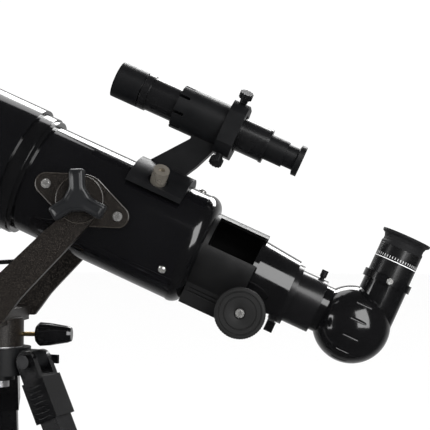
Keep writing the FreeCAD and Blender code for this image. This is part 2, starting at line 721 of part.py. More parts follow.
def focus_rack():
    """A bar with straight teeth below, one tooth pitch apart."""
    body = DOC.addObject("PartDesign::Body", "Rack")
    pitch_line = -S.shaft_low + pitch_radius + 0.10
    root = pitch_line + S.tooth_size * 1.15
    tip = pitch_line - S.tooth_size
    back = -S.floor_top - S.floor_wall
    lower_count = math.floor((num(S.shaft_x) - num(S.rack_front)) / num(tooth_pitch)) - 1
    upper_count = math.floor((num(S.rack_back) - num(S.shaft_x)) / num(tooth_pitch)) - 1
    half_pitch = S.tooth_size * (math.pi / 4) - backlash / 2
    points = [(S.rack_back, back), (S.rack_front, back), (S.rack_front, root)]
    for index in range(-lower_count, upper_count + 1):
        middle = S.shaft_x + tooth_pitch * (index + 0.5)
        root_half = half_pitch + S.tooth_size * (1.15 * pressure)
        tip_half = half_pitch - S.tooth_size * pressure
        points += [(middle - root_half, root), (middle - tip_half, tip),
                   (middle + tip_half, tip), (middle + root_half, root)]
    points.append((S.rack_back, root))
    sketch = sketch_in(body, "XZ_Plane", points)
    pad = body.newObject("PartDesign::Pad", "Pad")
    pad.Profile = sketch
    bind(pad, "Length", S.pinion_width - 1)
    pad.Midplane = True
    return body


on_tube("focus_rack", focus_rack())


def focus_shaft():
    """The shaft with its pinion cut in one piece, along Y."""
    shaft = rod(S.shaft_radius, S.shaft_reach * 2, (0, -S.shaft_reach, 0), "Y")
    wheel = rod(pitch_radius + S.tooth_size, S.pinion_width, (0, S.pinion_width / -2, 0), "Y")
    root_radius = pitch_radius - S.tooth_size * 1.15
    gaps = []
    for index in range(pinion_teeth):
        turn = 360.0 / pinion_teeth * (index + 0.5)
        body = DOC.addObject("PartDesign::Body", "Gap")
        half_pitch = S.tooth_size * (math.pi / 4) + backlash / 2
        root_half = half_pitch - S.tooth_size * (1.15 * pressure) - 0.1
        tip_half = half_pitch + S.tooth_size * (1.5 * pressure) + 0.15
        outer = pitch_radius + S.tooth_size * 1.5
        sketch = sketch_in(body, "XZ_Plane", [(-root_half, root_radius), (root_half, root_radius),
                                              (tip_half, outer), (-tip_half, outer)])
        pad = body.newObject("PartDesign::Pad", "Pad")
        pad.Profile = sketch
        bind(pad, "Length", S.pinion_width + 2)
        pad.Midplane = True
        gaps.append(place(body, (0, 0, 0), (Y_AXIS, turn)))
    return place(join(cut(wheel, *gaps), shaft), (S.shaft_x, 0, -S.shaft_low))


on_tube("focus_shaft", focus_shaft())


def focus_knob(side):
    """A wide flat knob with a hub, a screw recess and two rings in its face, built along Z."""
    back = S.knob_face - S.knob_thickness
    disc = rod(S.knob_radius, S.knob_thickness, (0, 0, back))
    edge = taper(S.knob_radius, S.knob_radius - 1, 1.0, (0, 0, S.knob_face))
    hub = rod(S.knob_hub, back - S.hub_start + 1, (0, 0, S.hub_start))
    bore = rod(S.shaft_radius + 0.01, S.shaft_reach - S.hub_start + 1, (0, 0, S.hub_start - 1))
    recess = rod(4.4, 4.0, (0, 0, S.knob_face - 1.4))
    screw_hole = rod(1.35, 8.0, (0, 0, S.knob_face - 5))
    grooves = []
    for groove_radius in (12.5, 16.5):
        outer = rod(groove_radius + 0.4, 2, (0, 0, S.knob_face + 0.4))
        inner = rod(groove_radius - 0.4, 4, (0, 0, S.knob_face - 1))
        grooves.append(cut(outer, inner))
    body = group(cut(join(disc, edge, hub), bore, recess, screw_hole, *grooves))
    return place(body, (S.shaft_x, 0, -S.shaft_low), (X_AXIS, side))


on_tube("focus_knobs", focus_knob(NEAR), focus_knob(FAR))

knob_screws = []
for side in (NEAR, FAR):
    screw = group(place(cross_screw(3.5, 2.0, 1.3, 1.5), (0, 0, S.knob_face - 1.35)))
    knob_screws.append(place(screw, (S.shaft_x, 0, -S.shaft_low), (X_AXIS, side)))
on_tube("focus_knob_screws", *knob_screws)

# ---- eyepiece holder, diagonal and eyepiece ----

barrel_room = S.barrel_radius + S.running_gap
end_bore = S.drawtube_end_radius - S.drawtube_wall
holder = turned(
    (S.flange_front - 6.5, barrel_room),
    (S.flange_front - 6.5, end_bore - S.fit_gap),
    (S.flange_front, end_bore - S.fit_gap),
    (S.flange_front, S.flange_radius + 1),
    (S.holder_front, S.flange_radius + 1),
    (S.holder_front, S.holder_radius),
    (S.holder_back, S.holder_radius),
    (S.holder_back, barrel_room))
holder_thread = rod(1.5 + S.running_gap, 20, (S.holder_screw_x, 0, 10))
on_tube("eyepiece_holder", cut(holder, holder_thread))
holder_screw = thumb_screw(2.75, 6.0, 1.9, 1.2, 1.5, 5.6)
on_tube("holder_screw", place(holder_screw, (S.holder_screw_x, 0, S.holder_radius + 0.1)))


def diagonal_body():
    """A hollow ball between a nosepiece and an upper barrel, with a cradle for the prism."""
    centre = (S.ball_x, 0, -S.ball_low)
    nose = rod(S.barrel_radius, S.ball_x - S.nose_front, (S.nose_front, 0, 0), "X")
    collar = rod(S.collar_radius, S.ball_x - S.holder_back - 0.3, (S.holder_back + 0.3, 0, 0), "X")
    neck = rod(S.neck_radius, S.neck_top, (S.eye_axis, 0, 0))
    top = rod(S.top_radius, S.top_end - S.neck_top, (S.eye_axis, 0, S.neck_top))
    outside = join(ball(S.ball_radius, centre), nose, collar, neck, top)
    hollow = ball(S.ball_radius - S.ball_wall, centre)
    nose_bore = rod(S.barrel_radius - 2.2, 60, (S.nose_front - 5, 0, 0), "X")
    eye_bore = rod(barrel_room, 60, (S.eye_axis, 0, S.eyepiece_foot - 6))
    low_bore = rod(S.barrel_radius - 2.2, 60, (S.eye_axis, 0, 0))
    grips = []
    step = 360.0 / 14
    for index in range(14):
        lift = 11.0 + step * index
        if 52.0 < lift % 360.0 < 128.0:
            continue
        at = (S.ball_x - 4.5, S.ball_radius * (-1.005 * math.cos(math.radians(lift))),
              S.ball_radius * (1.005 * math.sin(math.radians(lift))) - S.ball_low)
        groove = rod(1.4, 12, at, "X")
        grips.append(join(groove, ball(1.4, at), ball(1.4, (at[0] + 12, at[1], at[2]))))
    clamp_hole = rod(1.5 + S.running_gap, 30, (S.eye_axis, -25, S.neck_top + 3.2), "Y")
    shell = cut(outside, hollow, nose_bore, eye_bore, low_bore, clamp_hole, *grips)
    return shell


def prism_block(grow):
    """The right-angle prism: its long face turns light from the tube up the eyepiece axis."""
    half = S.prism_half + grow
    outline = [(S.eye_axis - half, -half), (S.eye_axis + half, half), (S.eye_axis - half, half)]
    return plate(outline, half * 2, -half)


def prism_cradle():
    """A wedge behind the prism's long face, carried by the ball's wall."""
    half = S.prism_half
    outline = [(S.eye_axis - half + 1, -half - 0.6), (S.eye_axis + 30, -half - 0.6),
               (S.eye_axis + 30, half - 1), (S.eye_axis + half + 0.6, half - 1)]
    wedge = plate(outline, S.prism_half * 2, -half)
    room = ball(S.ball_radius - S.ball_wall + 0.4, (S.ball_x, 0, -S.ball_low))
    return common(wedge, room)


on_tube("diagonal_body", join(diagonal_body(), prism_cradle()))
on_tube("diagonal_prism", prism_block(0.0))
diagonal_screw = thumb_screw(2.65, 1.6, 1.5, 0.2, 1.5, 3.6)
on_tube("diagonal_screw", place(diagonal_screw, (S.eye_axis, -S.top_radius - 0.05,
                                                 S.neck_top + 3.2), (X_AXIS, NEAR)))


def upright(thing, lift=0.0):
    """Stand a piece turned about X on the eyepiece axis."""
    return place(group(thing), (S.eye_axis, 0, lift), (Y_AXIS, -90.0))


eyepiece_seat = S.top_end + S.fit_gap
eyepiece = turned(
    (S.eyepiece_foot, S.barrel_radius - 1.4), (S.eyepiece_foot, S.barrel_radius),
    (eyepiece_seat, S.barrel_radius), (eyepiece_seat, S.eyepiece_radius),
    (S.eyepiece_top, S.eyepiece_radius), (S.eyepiece_top, 13.5), (S.eyepiece_top + 3, 13.5),
    (S.eyepiece_top + 3, 9.0), (eyepiece_seat + 6, 9.0), (eyepiece_seat + 6, S.barrel_radius - 1.4))
on_tube("eyepiece_body", upright(eyepiece))
cup_start = S.eyepiece_top + S.fit_gap
eyecup = turned(
    (cup_start, 13.6), (cup_start, S.eyepiece_radius), (cup_start + 2, S.eyepiece_radius),
    (cup_start + 3, S.cup_neck), (cup_start + 5.5, S.cup_neck), (cup_start + 8, S.cup_neck + 0.9),
    (S.cup_top - 2.2, S.cup_radius - 0.4), (S.cup_top - 1.4, S.cup_radius), (S.cup_top, S.cup_radius),
    (S.cup_top, 15.5), (S.cup_top - 4, 12.0), (S.cup_top - 6.4, 10.5), (S.cup_top - 7.4, 13.6))
on_tube("eyecup", upright(eyecup))


def lens(front_curve, back_curve, radius, thickness, start, axis_height=0.0):
    """A double convex lens along X, its front vertex at start."""
    blank = rod(radius, thickness, (start, 0, 0), "X")
    front = ball(front_curve, (start + front_curve, 0, 0))
    back = ball(back_curve, (start + thickness - back_curve, 0, 0))
    return place(group(common(common(blank, front), back)), (0, 0, axis_height))


eye_lens = lens(22.0, 60.0, 8.95, 6.0, S.eyepiece_top - 5)
field_lens = lens(40.0, 30.0, 8.95, 6.0, eyepiece_seat + 8)
on_tube("eyepiece_lenses", upright(group(eye_lens, field_lens)))

# ---- finder and its bracket ----


def at_finder(thing):
    return place(group(thing), (0, 0, S.finder_axis))


finder_bore = S.finder_tube_radius - S.finder_wall
finder_tube = turned(
    (-6.0, finder_bore), (-6.0, S.finder_tube_radius - 0.6), (0.0, S.finder_tube_radius - 0.6),
    (0.0, S.finder_radius), (6.0, S.finder_radius), (6.0, S.finder_tube_radius),
    (S.finder_back - 2.5, S.finder_tube_radius), (S.finder_back - 2.5, S.finder_tube_radius + 0.7),
    (S.finder_back, S.finder_tube_radius + 0.7), (S.finder_back, S.finder_eye_radius + 0.05),
    (S.finder_back - 14, S.finder_eye_radius + 0.05), (S.finder_back - 14, finder_bore))
on_tube("finder_tube", at_finder(finder_tube))
finder_seat = S.finder_tube_radius - 0.5
on_tube("finder_hood", at_finder(turned(
    (S.finder_front, finder_seat), (S.finder_front, S.finder_radius),
    (S.finder_hood_back, S.finder_radius), (S.finder_hood_back, finder_seat),
    (-6.2, finder_seat), (-6.2, finder_bore), (-7.6, finder_bore), (-7.6, finder_seat))))
finder_lens = lens(60.0, 60.0, finder_seat - 0.1, 5.0, -12.7, S.finder_axis)
on_tube("finder_lens", finder_lens)
on_tube("finder_eyepiece", at_finder(turned(
    (S.finder_back - 12, 7.5), (S.finder_back - 12, S.finder_eye_radius),
    (S.finder_eye_step, S.finder_eye_radius), (S.finder_eye_step, 9.4),
    (S.finder_eye_end - 5.5, 9.4), (S.finder_eye_end - 4.5, 12.9),
    (S.finder_eye_end, 12.9), (S.finder_eye_end, 9.5), (S.finder_eye_end - 5, 7.5))))

finder_screw_angles = (30.0, 150.0, 270.0)


def finder_bracket():
    """A saddle on the tube, a leaning web and a sleeve with a flange for three screws."""
    axis = (0, 0, S.finder_axis)
    length = S.saddle_back - S.saddle_front
    arch = cut(rod(S.saddle_radius, length, (S.saddle_front, 0, 0), "X"),
               rod(S.tube_radius + S.fit_gap, length + 2, (S.saddle_front - 1, 0, 0), "X"))
    side_half = S.saddle_radius * sine(S.saddle_half_angle)
    side_low = S.tube_radius * cosine(S.saddle_half_angle)
    saddle = common(arch, block(length, side_half * 2, 60, (S.saddle_front, -side_half, side_low)))
    web = plate([(26, 47.5), (58, 47.5), (66, 62), (74, 81), (74, 95), (52, 95), (52, 81)],
                S.web_thickness, S.web_thickness / -2)
    sleeve = rod(S.sleeve_radius, S.flange_x - S.sleeve_front + 1,
                 (S.sleeve_front, 0, S.finder_axis), "X")
    flange_length = S.flange_end - S.flange_x
    flange_side = S.flange_half * 2
    flange_block = block(flange_length, flange_side, flange_side,
                         (S.flange_x, -S.flange_half, S.finder_axis - S.flange_half))
    flange_round = rod(S.flange_half * 1.16, flange_length, (S.flange_x, 0, S.finder_axis), "X")
    flange = common(flange_block, flange_round)
    lip_end = S.sleeve_front + 3
    bore = rod(S.sleeve_bore, 80, (lip_end, 0, S.finder_axis), "X")
    lip_bore = rod(S.finder_tube_radius + 0.15, 80, (S.sleeve_front - 10, 0, S.finder_axis), "X")
    slots = []
    for angle in (20.0, 65.0, 110.0, 155.0):
        slot = block(10.0, 60, 2.6, (S.sleeve_front - 1, -30, -1.3))
        slots.append(place(group(slot), axis, (X_AXIS, angle)))
    screw_holes = []
    for angle in finder_screw_angles:
        hole = group(place(rod(2.0 + S.running_gap, 30), (S.finder_screw_x, 0, 8)))
        screw_holes.append(place(hole, axis, (X_AXIS, angle)))
    recesses = []
    for angle in stud_angles:
        recesses.append(radial_rod(8.2, 10, S.saddle_radius - 1.6, S.nut_x, angle))
        recesses.append(radial_rod(S.stud_radius + S.running_gap, 20, S.tube_radius - 3, S.nut_x, angle))
    solid = join(saddle, web, sleeve, flange)
    return cut(solid, bore, lip_bore, *slots, *screw_holes, *recesses)


on_tube("finder_bracket", finder_bracket())

for number, angle in enumerate(finder_screw_angles, start=1):
    shank_length = S.finder_screw_neck - S.finder_tube_radius - S.fit_gap
    screw = thumb_screw(5.5, 5.0, 3.2, 4.0, 2.0, shank_length)
    screw = group(place(screw, (S.finder_screw_x, 0, S.finder_screw_neck)))
    on_tube("finder_screw_%d" % number, place(screw, (0, 0, S.finder_axis), (X_AXIS, angle)))

finder_studs = []
for angle in stud_angles:
    head = radial_rod(5.0, 1.5, tube_bore - 2.0, S.nut_x, angle)
    shank = radial_rod(S.stud_radius, 17.0, tube_bore - 0.6, S.nut_x, angle)
    finder_studs.append(join(head, shank))
on_tube("finder_studs", *finder_studs)


def thumb_nut(angle):
    """A knurled round nut on a finder stud."""
    start = S.saddle_radius - 1.6 + 0.05
    body = radial_rod(S.nut_radius, S.nut_height, start, S.nut_x, angle)
    bore = radial_rod(S.stud_radius + S.running_gap, S.nut_height + 2, start - 1, S.nut_x, angle)
    return cut(body, bore)


on_tube("finder_nut_near", thumb_nut(S.nut_angle))
on_tube("finder_nut_far", thumb_nut(-S.nut_angle))

# ---- yoke, its knobs and the pan handle, drawn upright about the altitude axis ----


handle_at = (-S.yoke_offset + 27, S.handle_side, -S.handle_low - 7)


def yoke_arm(side):
    """One arm, from the round eye at the pivot down to the cross piece."""
    outline = [(12.4, -14.2), (-13.5, -42.5), (-40.2, -70.7), (-46.4, -77.6), (-54.5, -88.8),
               (-60.0, -S.yoke_floor), (-101.0, -S.yoke_floor), (-99.0, -90.0), (-91.0, -82.0),
               (-78.0, -72.0), (-59.3, -54.7), (-28.8, -25.7), (-13.6, -13.0)]
    start = S.arm_inside * -1 - S.arm_thickness if side == NEAR else S.arm_inside
    arm = plate(outline, S.arm_thickness, start)
    eye = rod(S.eye_radius, S.arm_thickness, (0, start, 0), "Y")
    bore = rod(S.pivot_radius + S.running_gap, S.arm_thickness + 2, (0, start - 1, 0), "Y")
    return cut(join(arm, eye), bore)


def handle_boss():
    """A block on the far arm's outer face, bored for the pan handle."""
    reach = S.handle_side - (S.arm_inside + S.arm_thickness)
    body = block(16, reach + 5, 14, (-8, -reach - 1, -7))
    bore = rod(S.handle_radius + 0.02, 40, (-6, 0, 0), "X")
    flipped = place(group(bore), (0, 0, 0), (Y_AXIS, 180.0 - S.handle_droop))
    return place(group(cut(body, flipped)), handle_at)


def yoke():
    """Two arms on a cross piece, and a post that turns on the azimuth bolt."""
    back = S.yoke_offset * -1
    span = (S.arm_inside + S.arm_thickness) * 2
    cross_low = -S.yoke_floor
    cross_box = block(S.cross_front + S.cross_back, span, S.yoke_plate,
                      (back - S.cross_back, span / -2, cross_low))
    rib = block(8, span - 4, 10, (back + S.cross_front - 10, span / -2 + 2, cross_low - 4))
    post = rod(S.post_radius, S.post_low - S.yoke_floor + 1, (back, 0, -S.post_low))
    bolt_hole = rod(S.bolt_radius + S.running_gap, 60, (back, 0, -S.post_low - 5))
    lock_hole = rod(S.lock_rod_radius + S.running_gap, 40, (back, 0, -S.lock_low), "X")
    frame = join(yoke_arm(NEAR), yoke_arm(FAR), cross_box, rib, post, handle_boss())
    return cut(frame, bolt_hole, lock_hole)


on_pivot("yoke", yoke())


def lobe_knob(side):
    """A three-lobed clamp knob on the altitude stud, built along Z and then turned outwards."""
    start = S.arm_inside + S.arm_thickness + S.clear_gap
    thickness = S.lobe_knob_face - start
    core = rod(S.lobe_core, thickness, (0, 0, start))
    pieces = [core]
    lobe_at = S.lobe_reach - S.lobe_radius
    for index in range(3):
        arm = block(lobe_at, S.lobe_radius * 2, thickness - 2, (0, -S.lobe_radius, start + 2))
        tip = rod(S.lobe_radius, thickness - 2, (lobe_at, 0, start + 2))
        turn = 92.0 + 120.0 * index
        pieces.append(place(group(join(arm, tip)), (0, 0, 0), (Z_AXIS, turn)))
    bore = rod(S.pivot_radius + 0.01, S.lobe_knob_face - 4.5 - start + 1, (0, 0, start - 1))
    return place(group(cut(join(*pieces), bore)), (0, 0, 0), (X_AXIS, side))


on_pivot("altitude_knob_near", lobe_knob(NEAR))
on_pivot("altitude_knob_far", lobe_knob(FAR))

lock_start = S.bolt_radius + 0.2
lock_rod = rod(S.lock_rod_radius, S.lock_knob_start + 12 - lock_start,
               (lock_start - S.yoke_offset, 0, -S.lock_low), "X")
on_pivot("azimuth_lock_rod", lock_rod)


def lock_knob():
    """A fluted knob that narrows towards its end."""
    start = S.lock_knob_start
    body = turned(
        (start, S.lock_rod_radius + 0.01), (start, 6.5), (start + 2, S.lock_knob_radius - 1),
        (start + 3.5, S.lock_knob_radius), (start + 12, S.lock_knob_radius - 0.6),
        (S.lock_knob_end - 3, 6.8), (S.lock_knob_end, 5.6), (S.lock_knob_end, 0.0),
        (start + 12.5, 0.0), (start + 12.5, S.lock_rod_radius + 0.01))
    flutes = []
    for index in range(10):
        angle = math.radians(36.0 * index)
        at = (start - 1, S.lock_knob_radius * (1.06 * math.cos(angle)),
              S.lock_knob_radius * (1.06 * math.sin(angle)))
        flutes.append(rod(1.5, 22, at, "X"))
    knob = cut(body, *flutes)
    return place(group(knob), (-S.yoke_offset, 0, -S.lock_low))


on_pivot("azimuth_lock_knob", lock_knob())


def handle_piece(thing):
    """Set a piece turned about X on the pan handle's line, which leaves the far arm forwards."""
    return place(group(thing), handle_at, (Y_AXIS, 180.0 - S.handle_droop))


handle_rod = rod(S.handle_radius, S.handle_length, (-5, 0, 0), "X")
on_pivot("pan_handle_rod", handle_piece(handle_rod))
grip_start = S.handle_length - S.grip_length
grip = turned(
    (grip_start, S.handle_radius + 0.02), (grip_start, S.grip_radius - 2.5),
    (grip_start + 4, S.grip_radius), (S.handle_length + 2, S.grip_radius - 1),
    (S.handle_length + 5, S.grip_radius - 3.5), (S.handle_length + 5, 0.0),
    (S.handle_length - 4.5, 0.0), (S.handle_length - 4.5, S.handle_radius + 0.02))
on_pivot("pan_handle_grip", handle_piece(grip))

# ---- tripod, drawn about the azimuth axis ----

hub_top = S.pivot_height - S.post_low - S.washer_thickness
hinge_height = hub_top - S.hinge_drop
leg_turns = [S.first_leg, S.first_leg + 120.0, S.first_leg + 240.0]


def on_axis(thing):
    return place(thing, (S.azimuth_x, S.azimuth_y, 0))


def round_the_hub(pieces):
    """Turn the piece made for each leg to its leg's direction; pieces are in leg order."""
    placed = []
    for thing, turn in zip(pieces, leg_turns):
        placed.append(place(group(thing), (S.azimuth_x, S.azimuth_y, 0), (Z_AXIS, turn)))
    return placed


def down_the_leg(thing):
    """Hang a piece drawn down its own -Z from the leg's hinge, splayed outwards."""
    return place(group(thing), (S.hinge_reach, 0, hinge_height), (Y_AXIS, -S.leg_splay))


def tripod_hub():
    disc = rod(S.hub_radius, S.hub_depth, (0, 0, hub_top - S.hub_depth))
    boss = rod(13.0, 6, (0, 0, hub_top - S.hub_depth - 5))
    ears = []
    holes = []
    for turn in leg_turns:
        arm = block(S.hinge_reach - 14, S.ear_width, S.ear_radius * 2,
                    (14, S.ear_width / -2, hinge_height - S.ear_radius))
        tip = rod(S.ear_radius, S.ear_width, (S.hinge_reach, S.ear_width / -2, hinge_height), "Y")
        ears.append(place(group(join(arm, tip)), (0, 0, 0), (Z_AXIS, turn)))
        hole = rod(S.hinge_bolt_radius + S.running_gap, 40, (S.hinge_reach, -20, hinge_height), "Y")
        holes.append(place(group(hole), (0, 0, 0), (Z_AXIS, turn)))
    bolt_hole = rod(S.bolt_radius + S.running_gap, 60, (0, 0, hub_top - 50))
    return cut(join(disc, boss, *ears), bolt_hole, *holes)


keep("tripod_hub", on_axis(group(tripod_hub())))
washer = cut(rod(S.post_radius - 1, S.washer_thickness - 0.1, (0, 0, hub_top + 0.05)),
             rod(S.bolt_radius + S.running_gap, 10, (0, 0, hub_top - 4)))
bolt_low = hub_top - S.hub_depth - 5
bolt_top = S.pivot_height - S.yoke_floor + S.yoke_plate
bolt_body = join(rod(S.bolt_radius, bolt_top - bolt_low + 9, (0, 0, bolt_low - 0.5)),
                 rod(8.5, 5.5, (0, 0, bolt_low - 5.6)))
bolt_nut = cut(rod(8.0, 6.5, (0, 0, bolt_top + S.clear_gap)),
               rod(S.bolt_radius + S.running_gap, 20, (0, 0, bolt_top - 5)))
keep("azimuth_bolt", on_axis(group(bolt_body, bolt_nut, washer)))

head_half = S.ear_width / 2 + S.fit_gap
cheek_outer = head_half + S.cheek_width


def leg_head():
    """A fork that takes the hub's ear, on a socket that takes the upper leg."""
    width = cheek_outer * 2
    eye = rod(S.ear_radius, width, (0, -cheek_outer, 0), "Y")
    neck = block(S.ear_radius * 2, width, 22, (-S.ear_radius, -cheek_outer, -22))
    socket = block(S.leg_depth + 5, width, S.head_length - 16,
                   ((S.leg_depth + 5) / -2, -cheek_outer, -S.head_length))
    gap = block(40, head_half * 2, 30, (-20, -head_half, -14.5 + 0.2))
    bolt = rod(S.hinge_bolt_radius + S.running_gap, 60, (0, -30, 0), "Y")
    room_half = (S.leg_depth / 2 + S.fit_gap, S.leg_width / 2 + S.fit_gap)
    room = block(room_half[0] * 2, room_half[1] * 2, 80,
                 (room_half[0] * -1, room_half[1] * -1, -S.leg_start - 80 + S.fit_gap))
    ribs = []
    for index in range(7):
        low = -S.head_length + 3 + 4.2 * index
        for face in (cheek_outer * -1 - 0.4, cheek_outer - 0.4):
            ribs.append(block(12, 0.8, 1.2, (-6, face, low)))
    return cut(join(eye, neck, socket), gap, bolt, room, *ribs)


def box_tube(depth, width, wall, low, high):
    """A rectangular tube between two heights, both below the hinge."""
    outer = block(depth, width, high - low, (depth / -2, width / -2, low))
    inner = block(depth - 2 * wall, width - 2 * wall, high - low + 2,
                  (depth / -2 + wall, width / -2 + wall, low - 1))
    return outer, inner


face_x = S.leg_depth / 2 + S.fit_gap
tab_height = 20.0
tab_thickness = 2.5
tab_rise = 15.0
brace_screw_rise = 10.0


def brace_screw_hole():
    """The hole through a brace's tab and the leg's inner wall."""
    return rod(1.55, 12, (-face_x - 6, 0, brace_screw_rise - S.brace_place), "X")


def upper_leg():
    outer, inner = box_tube(S.leg_depth, S.leg_width, S.leg_wall, -S.leg_end, -S.leg_start)
    return cut(outer, inner, brace_screw_hole())


lower_depth = S.leg_depth - 2 * S.leg_wall - 2 * S.clear_gap
lower_width = S.leg_width - 2 * S.leg_wall - 2 * S.clear_gap
floor_reach = hinge_height / cosine(S.leg_splay)
lower_end = floor_reach - 9.0


def leg_collar():
    """A clamp round the upper leg's end; its lower half guides the lower leg."""
    depth = S.leg_depth + 2 * S.collar_wall
    width = S.leg_width + 2 * S.collar_wall
    low = -S.leg_end - S.collar_length * 0.4
    body = block(depth, width, S.collar_length, (depth / -2, width / -2, low))
    boss = rod(8.0, 9, (depth / 2 - 1, 0, -S.leg_end - 4), "X")
    upper_room = block(S.leg_depth + 2 * S.fit_gap, S.leg_width + 2 * S.fit_gap, 80,
                       (S.leg_depth / -2 - S.fit_gap, S.leg_width / -2 - S.fit_gap,
                        -S.leg_end - S.fit_gap))
    lower_room = block(lower_depth + 2 * S.clear_gap, lower_width + 2 * S.clear_gap, 80,
                       (lower_depth / -2 - S.clear_gap, lower_width / -2 - S.clear_gap,
                        -S.leg_end - 60))
    knob_hole = rod(3.0 + S.running_gap, 30, (lower_depth / 2 - 1, 0, -S.leg_end - 4), "X")
    return cut(join(body, boss), upper_room, lower_room, knob_hole)


def leg_knob():
    """A clamp screw with a knob, pointing outwards from the collar."""
    start = S.leg_depth / 2 + S.collar_wall + 8
    screw = rod(3.0, start - lower_depth / 2 + 4, (lower_depth / 2 + 0.3, 0, -S.leg_end - 4), "X")
    knob = rod(S.leg_knob_radius, 12, (start + 0.3, 0, -S.leg_end - 4), "X")
    notches = []
    for index in range(8):
        angle = math.radians(45.0 * index)
        at = (start - 1, S.leg_knob_radius * (1.05 * math.cos(angle)),
              S.leg_knob_radius * (1.05 * math.sin(angle)) - S.leg_end - 4)
        notches.append(rod(2.2, 20, at, "X"))
    return cut(join(screw, knob), *notches)


def lower_leg():
    outer, inner = box_tube(lower_depth, lower_width, 1.2, -lower_end, -S.slide_start)
    return cut(outer, inner)


def foot():
    """A rubber boot on the lower leg, cut level where it meets the floor."""
    low = -floor_reach - 10
    boot = rod(S.foot_radius, S.foot_length + 10, (0, 0, low))
    socket = block(lower_depth + 2 * S.fit_gap, lower_width + 2 * S.fit_gap, 60,
                   (lower_depth / -2 - S.fit_gap, lower_width / -2 - S.fit_gap,
                    -lower_end - S.fit_gap))
    splayed = down_the_leg(cut(boot, socket))
    below_floor = block(200, 200, 60, (hinge_height * tangent(S.leg_splay) - 70, -100, -60))
    return cut(splayed, below_floor)


keep("leg_heads", group(*round_the_hub([down_the_leg(leg_head()) for turn in leg_turns])))
keep("upper_legs", group(*round_the_hub([down_the_leg(upper_leg()) for turn in leg_turns])))
keep("leg_collars", group(*round_the_hub([down_the_leg(leg_collar()) for turn in leg_turns])))
for number, thing in enumerate(round_the_hub([down_the_leg(lower_leg()) for turn in leg_turns]), start=1):
    keep("lower_leg_%d" % number, thing)
for number, thing in enumerate(round_the_hub([foot() for turn in leg_turns]), start=1):
    keep("foot_%d" % number, thing)
for number, thing in enumerate(round_the_hub([down_the_leg(leg_knob()) for turn in leg_turns]), start=1):
    keep("leg_knob_%d" % number, thing)


def hinge_bolt():
    """A bolt across the fork with a round head and a wing nut."""
    reach = cheek_outer + 0.1
    shank = rod(S.hinge_bolt_radius, reach * 2 + 7, (S.hinge_reach, -reach - 1, hinge_height), "Y")
    head = rod(5.5, 3.0, (S.hinge_reach, -reach - 3.1, hinge_height), "Y")
    nut = rod(5.0, 5.0, (S.hinge_reach, reach + 0.1, hinge_height), "Y")
    wing = block(24, 2.4, 7, (S.hinge_reach - 12, reach + 3.4, hinge_height - 3.5))
    bore = rod(S.hinge_bolt_radius + S.running_gap, 40, (S.hinge_reach, reach - 5, hinge_height), "Y")
    return group(join(shank, head), cut(join(nut, wing), bore))


keep("leg_hinge_bolts", group(*round_the_hub([hinge_bolt() for turn in leg_turns])))

# The braces run level from the tray to the inner face of each leg.
brace_height = hinge_height - S.brace_place * cosine(S.leg_splay)
brace_leg_x = S.hinge_reach + S.brace_place * sine(S.leg_splay)


def leg_brace():
    """A flat strip under the tray with a tab that lies against the leg's inner face."""
    strip_start = S.tray_radius - 24
    tab = block(tab_thickness, S.brace_width, tab_height, (-face_x - tab_thickness, S.brace_width / -2,
                                                          tab_rise - S.brace_place - tab_height))
    strip_end = brace_leg_x - face_x / cosine(S.leg_splay) - 1.6
    strip = block(strip_end - strip_start, S.brace_width, S.brace_thickness,
                  (strip_start, S.brace_width / -2, brace_height - S.brace_thickness))
    hole = rod(2.5 + S.running_gap, 20, (S.tray_radius - 12, 0, brace_height - 10))
    screw_hole = down_the_leg(brace_screw_hole())
    return cut(join(strip, down_the_leg(tab)), hole, screw_hole)


keep("leg_braces", group(*round_the_hub([leg_brace() for turn in leg_turns])))

tray_fasteners = []
for turn in leg_turns:
    screw_at = (-face_x - tab_thickness - 0.02, 0, brace_screw_rise - S.brace_place)
    screw = place(cross_screw(3.0, 1.8, 1.5, 4.4), screw_at, (Y_AXIS, -90.0))
    tray_fasteners.append(down_the_leg(screw))


def accessory_tray():
    """A round tray with a rim and three eyepiece holes."""
    low = brace_height + 0.05
    floor_disc = rod(S.tray_radius, S.tray_thickness, (0, 0, low))
    wall = cut(rod(S.tray_radius, S.tray_rim, (0, 0, low)),
               rod(S.tray_radius - 2.5, S.tray_rim + 2, (0, 0, low - 1)))
    holes = []
    for turn in leg_turns:
        bolt_hole = rod(2.5 + S.running_gap, 20, (S.tray_radius - 12, 0, low - 5))
        holes.append(place(group(bolt_hole), (0, 0, 0), (Z_AXIS, turn)))
        eye_hole = rod(S.tray_hole, 20, (S.tray_radius * 0.56, 0, low - 5))
        holes.append(place(group(eye_hole), (0, 0, 0), (Z_AXIS, turn + 60.0)))
    return cut(join(floor_disc, wall), *holes)


keep("accessory_tray", on_axis(group(accessory_tray())))


def tray_bolt():
    """A bolt up through the brace and the tray with a thumb nut on top."""
    at_x = S.tray_radius - 12
    head_low = brace_height - S.brace_thickness
    top = brace_height + S.tray_thickness
    bolt = join(rod(2.5, 12.0, (at_x, 0, head_low - 0.5)), rod(4.5, 2.6, (at_x, 0, head_low - 2.65)))
    nut = cut(rod(6.0, 5.5, (at_x, 0, top + 0.12)), rod(2.5 + S.running_gap, 20, (at_x, 0, top - 5)))
    return group(bolt, nut)


tray_bolts = round_the_hub([tray_bolt() for turn in leg_turns])
keep("tray_fasteners", group(*tray_bolts, *round_the_hub(tray_fasteners)))

# ---- check and write ----

DOC.recompute()
faults = []
for thing in DOC.Objects:
    if "Invalid" in thing.State or "Error" in thing.State:
        faults.append("%s (%s) failed" % (thing.Name, thing.Label))
for thing in SUBPARTS:
    if thing.Shape.isNull() or not thing.Shape.isValid():
        faults.append("%s has no valid shape" % thing.Label)
if faults:
    raise RuntimeError("; ".join(faults))

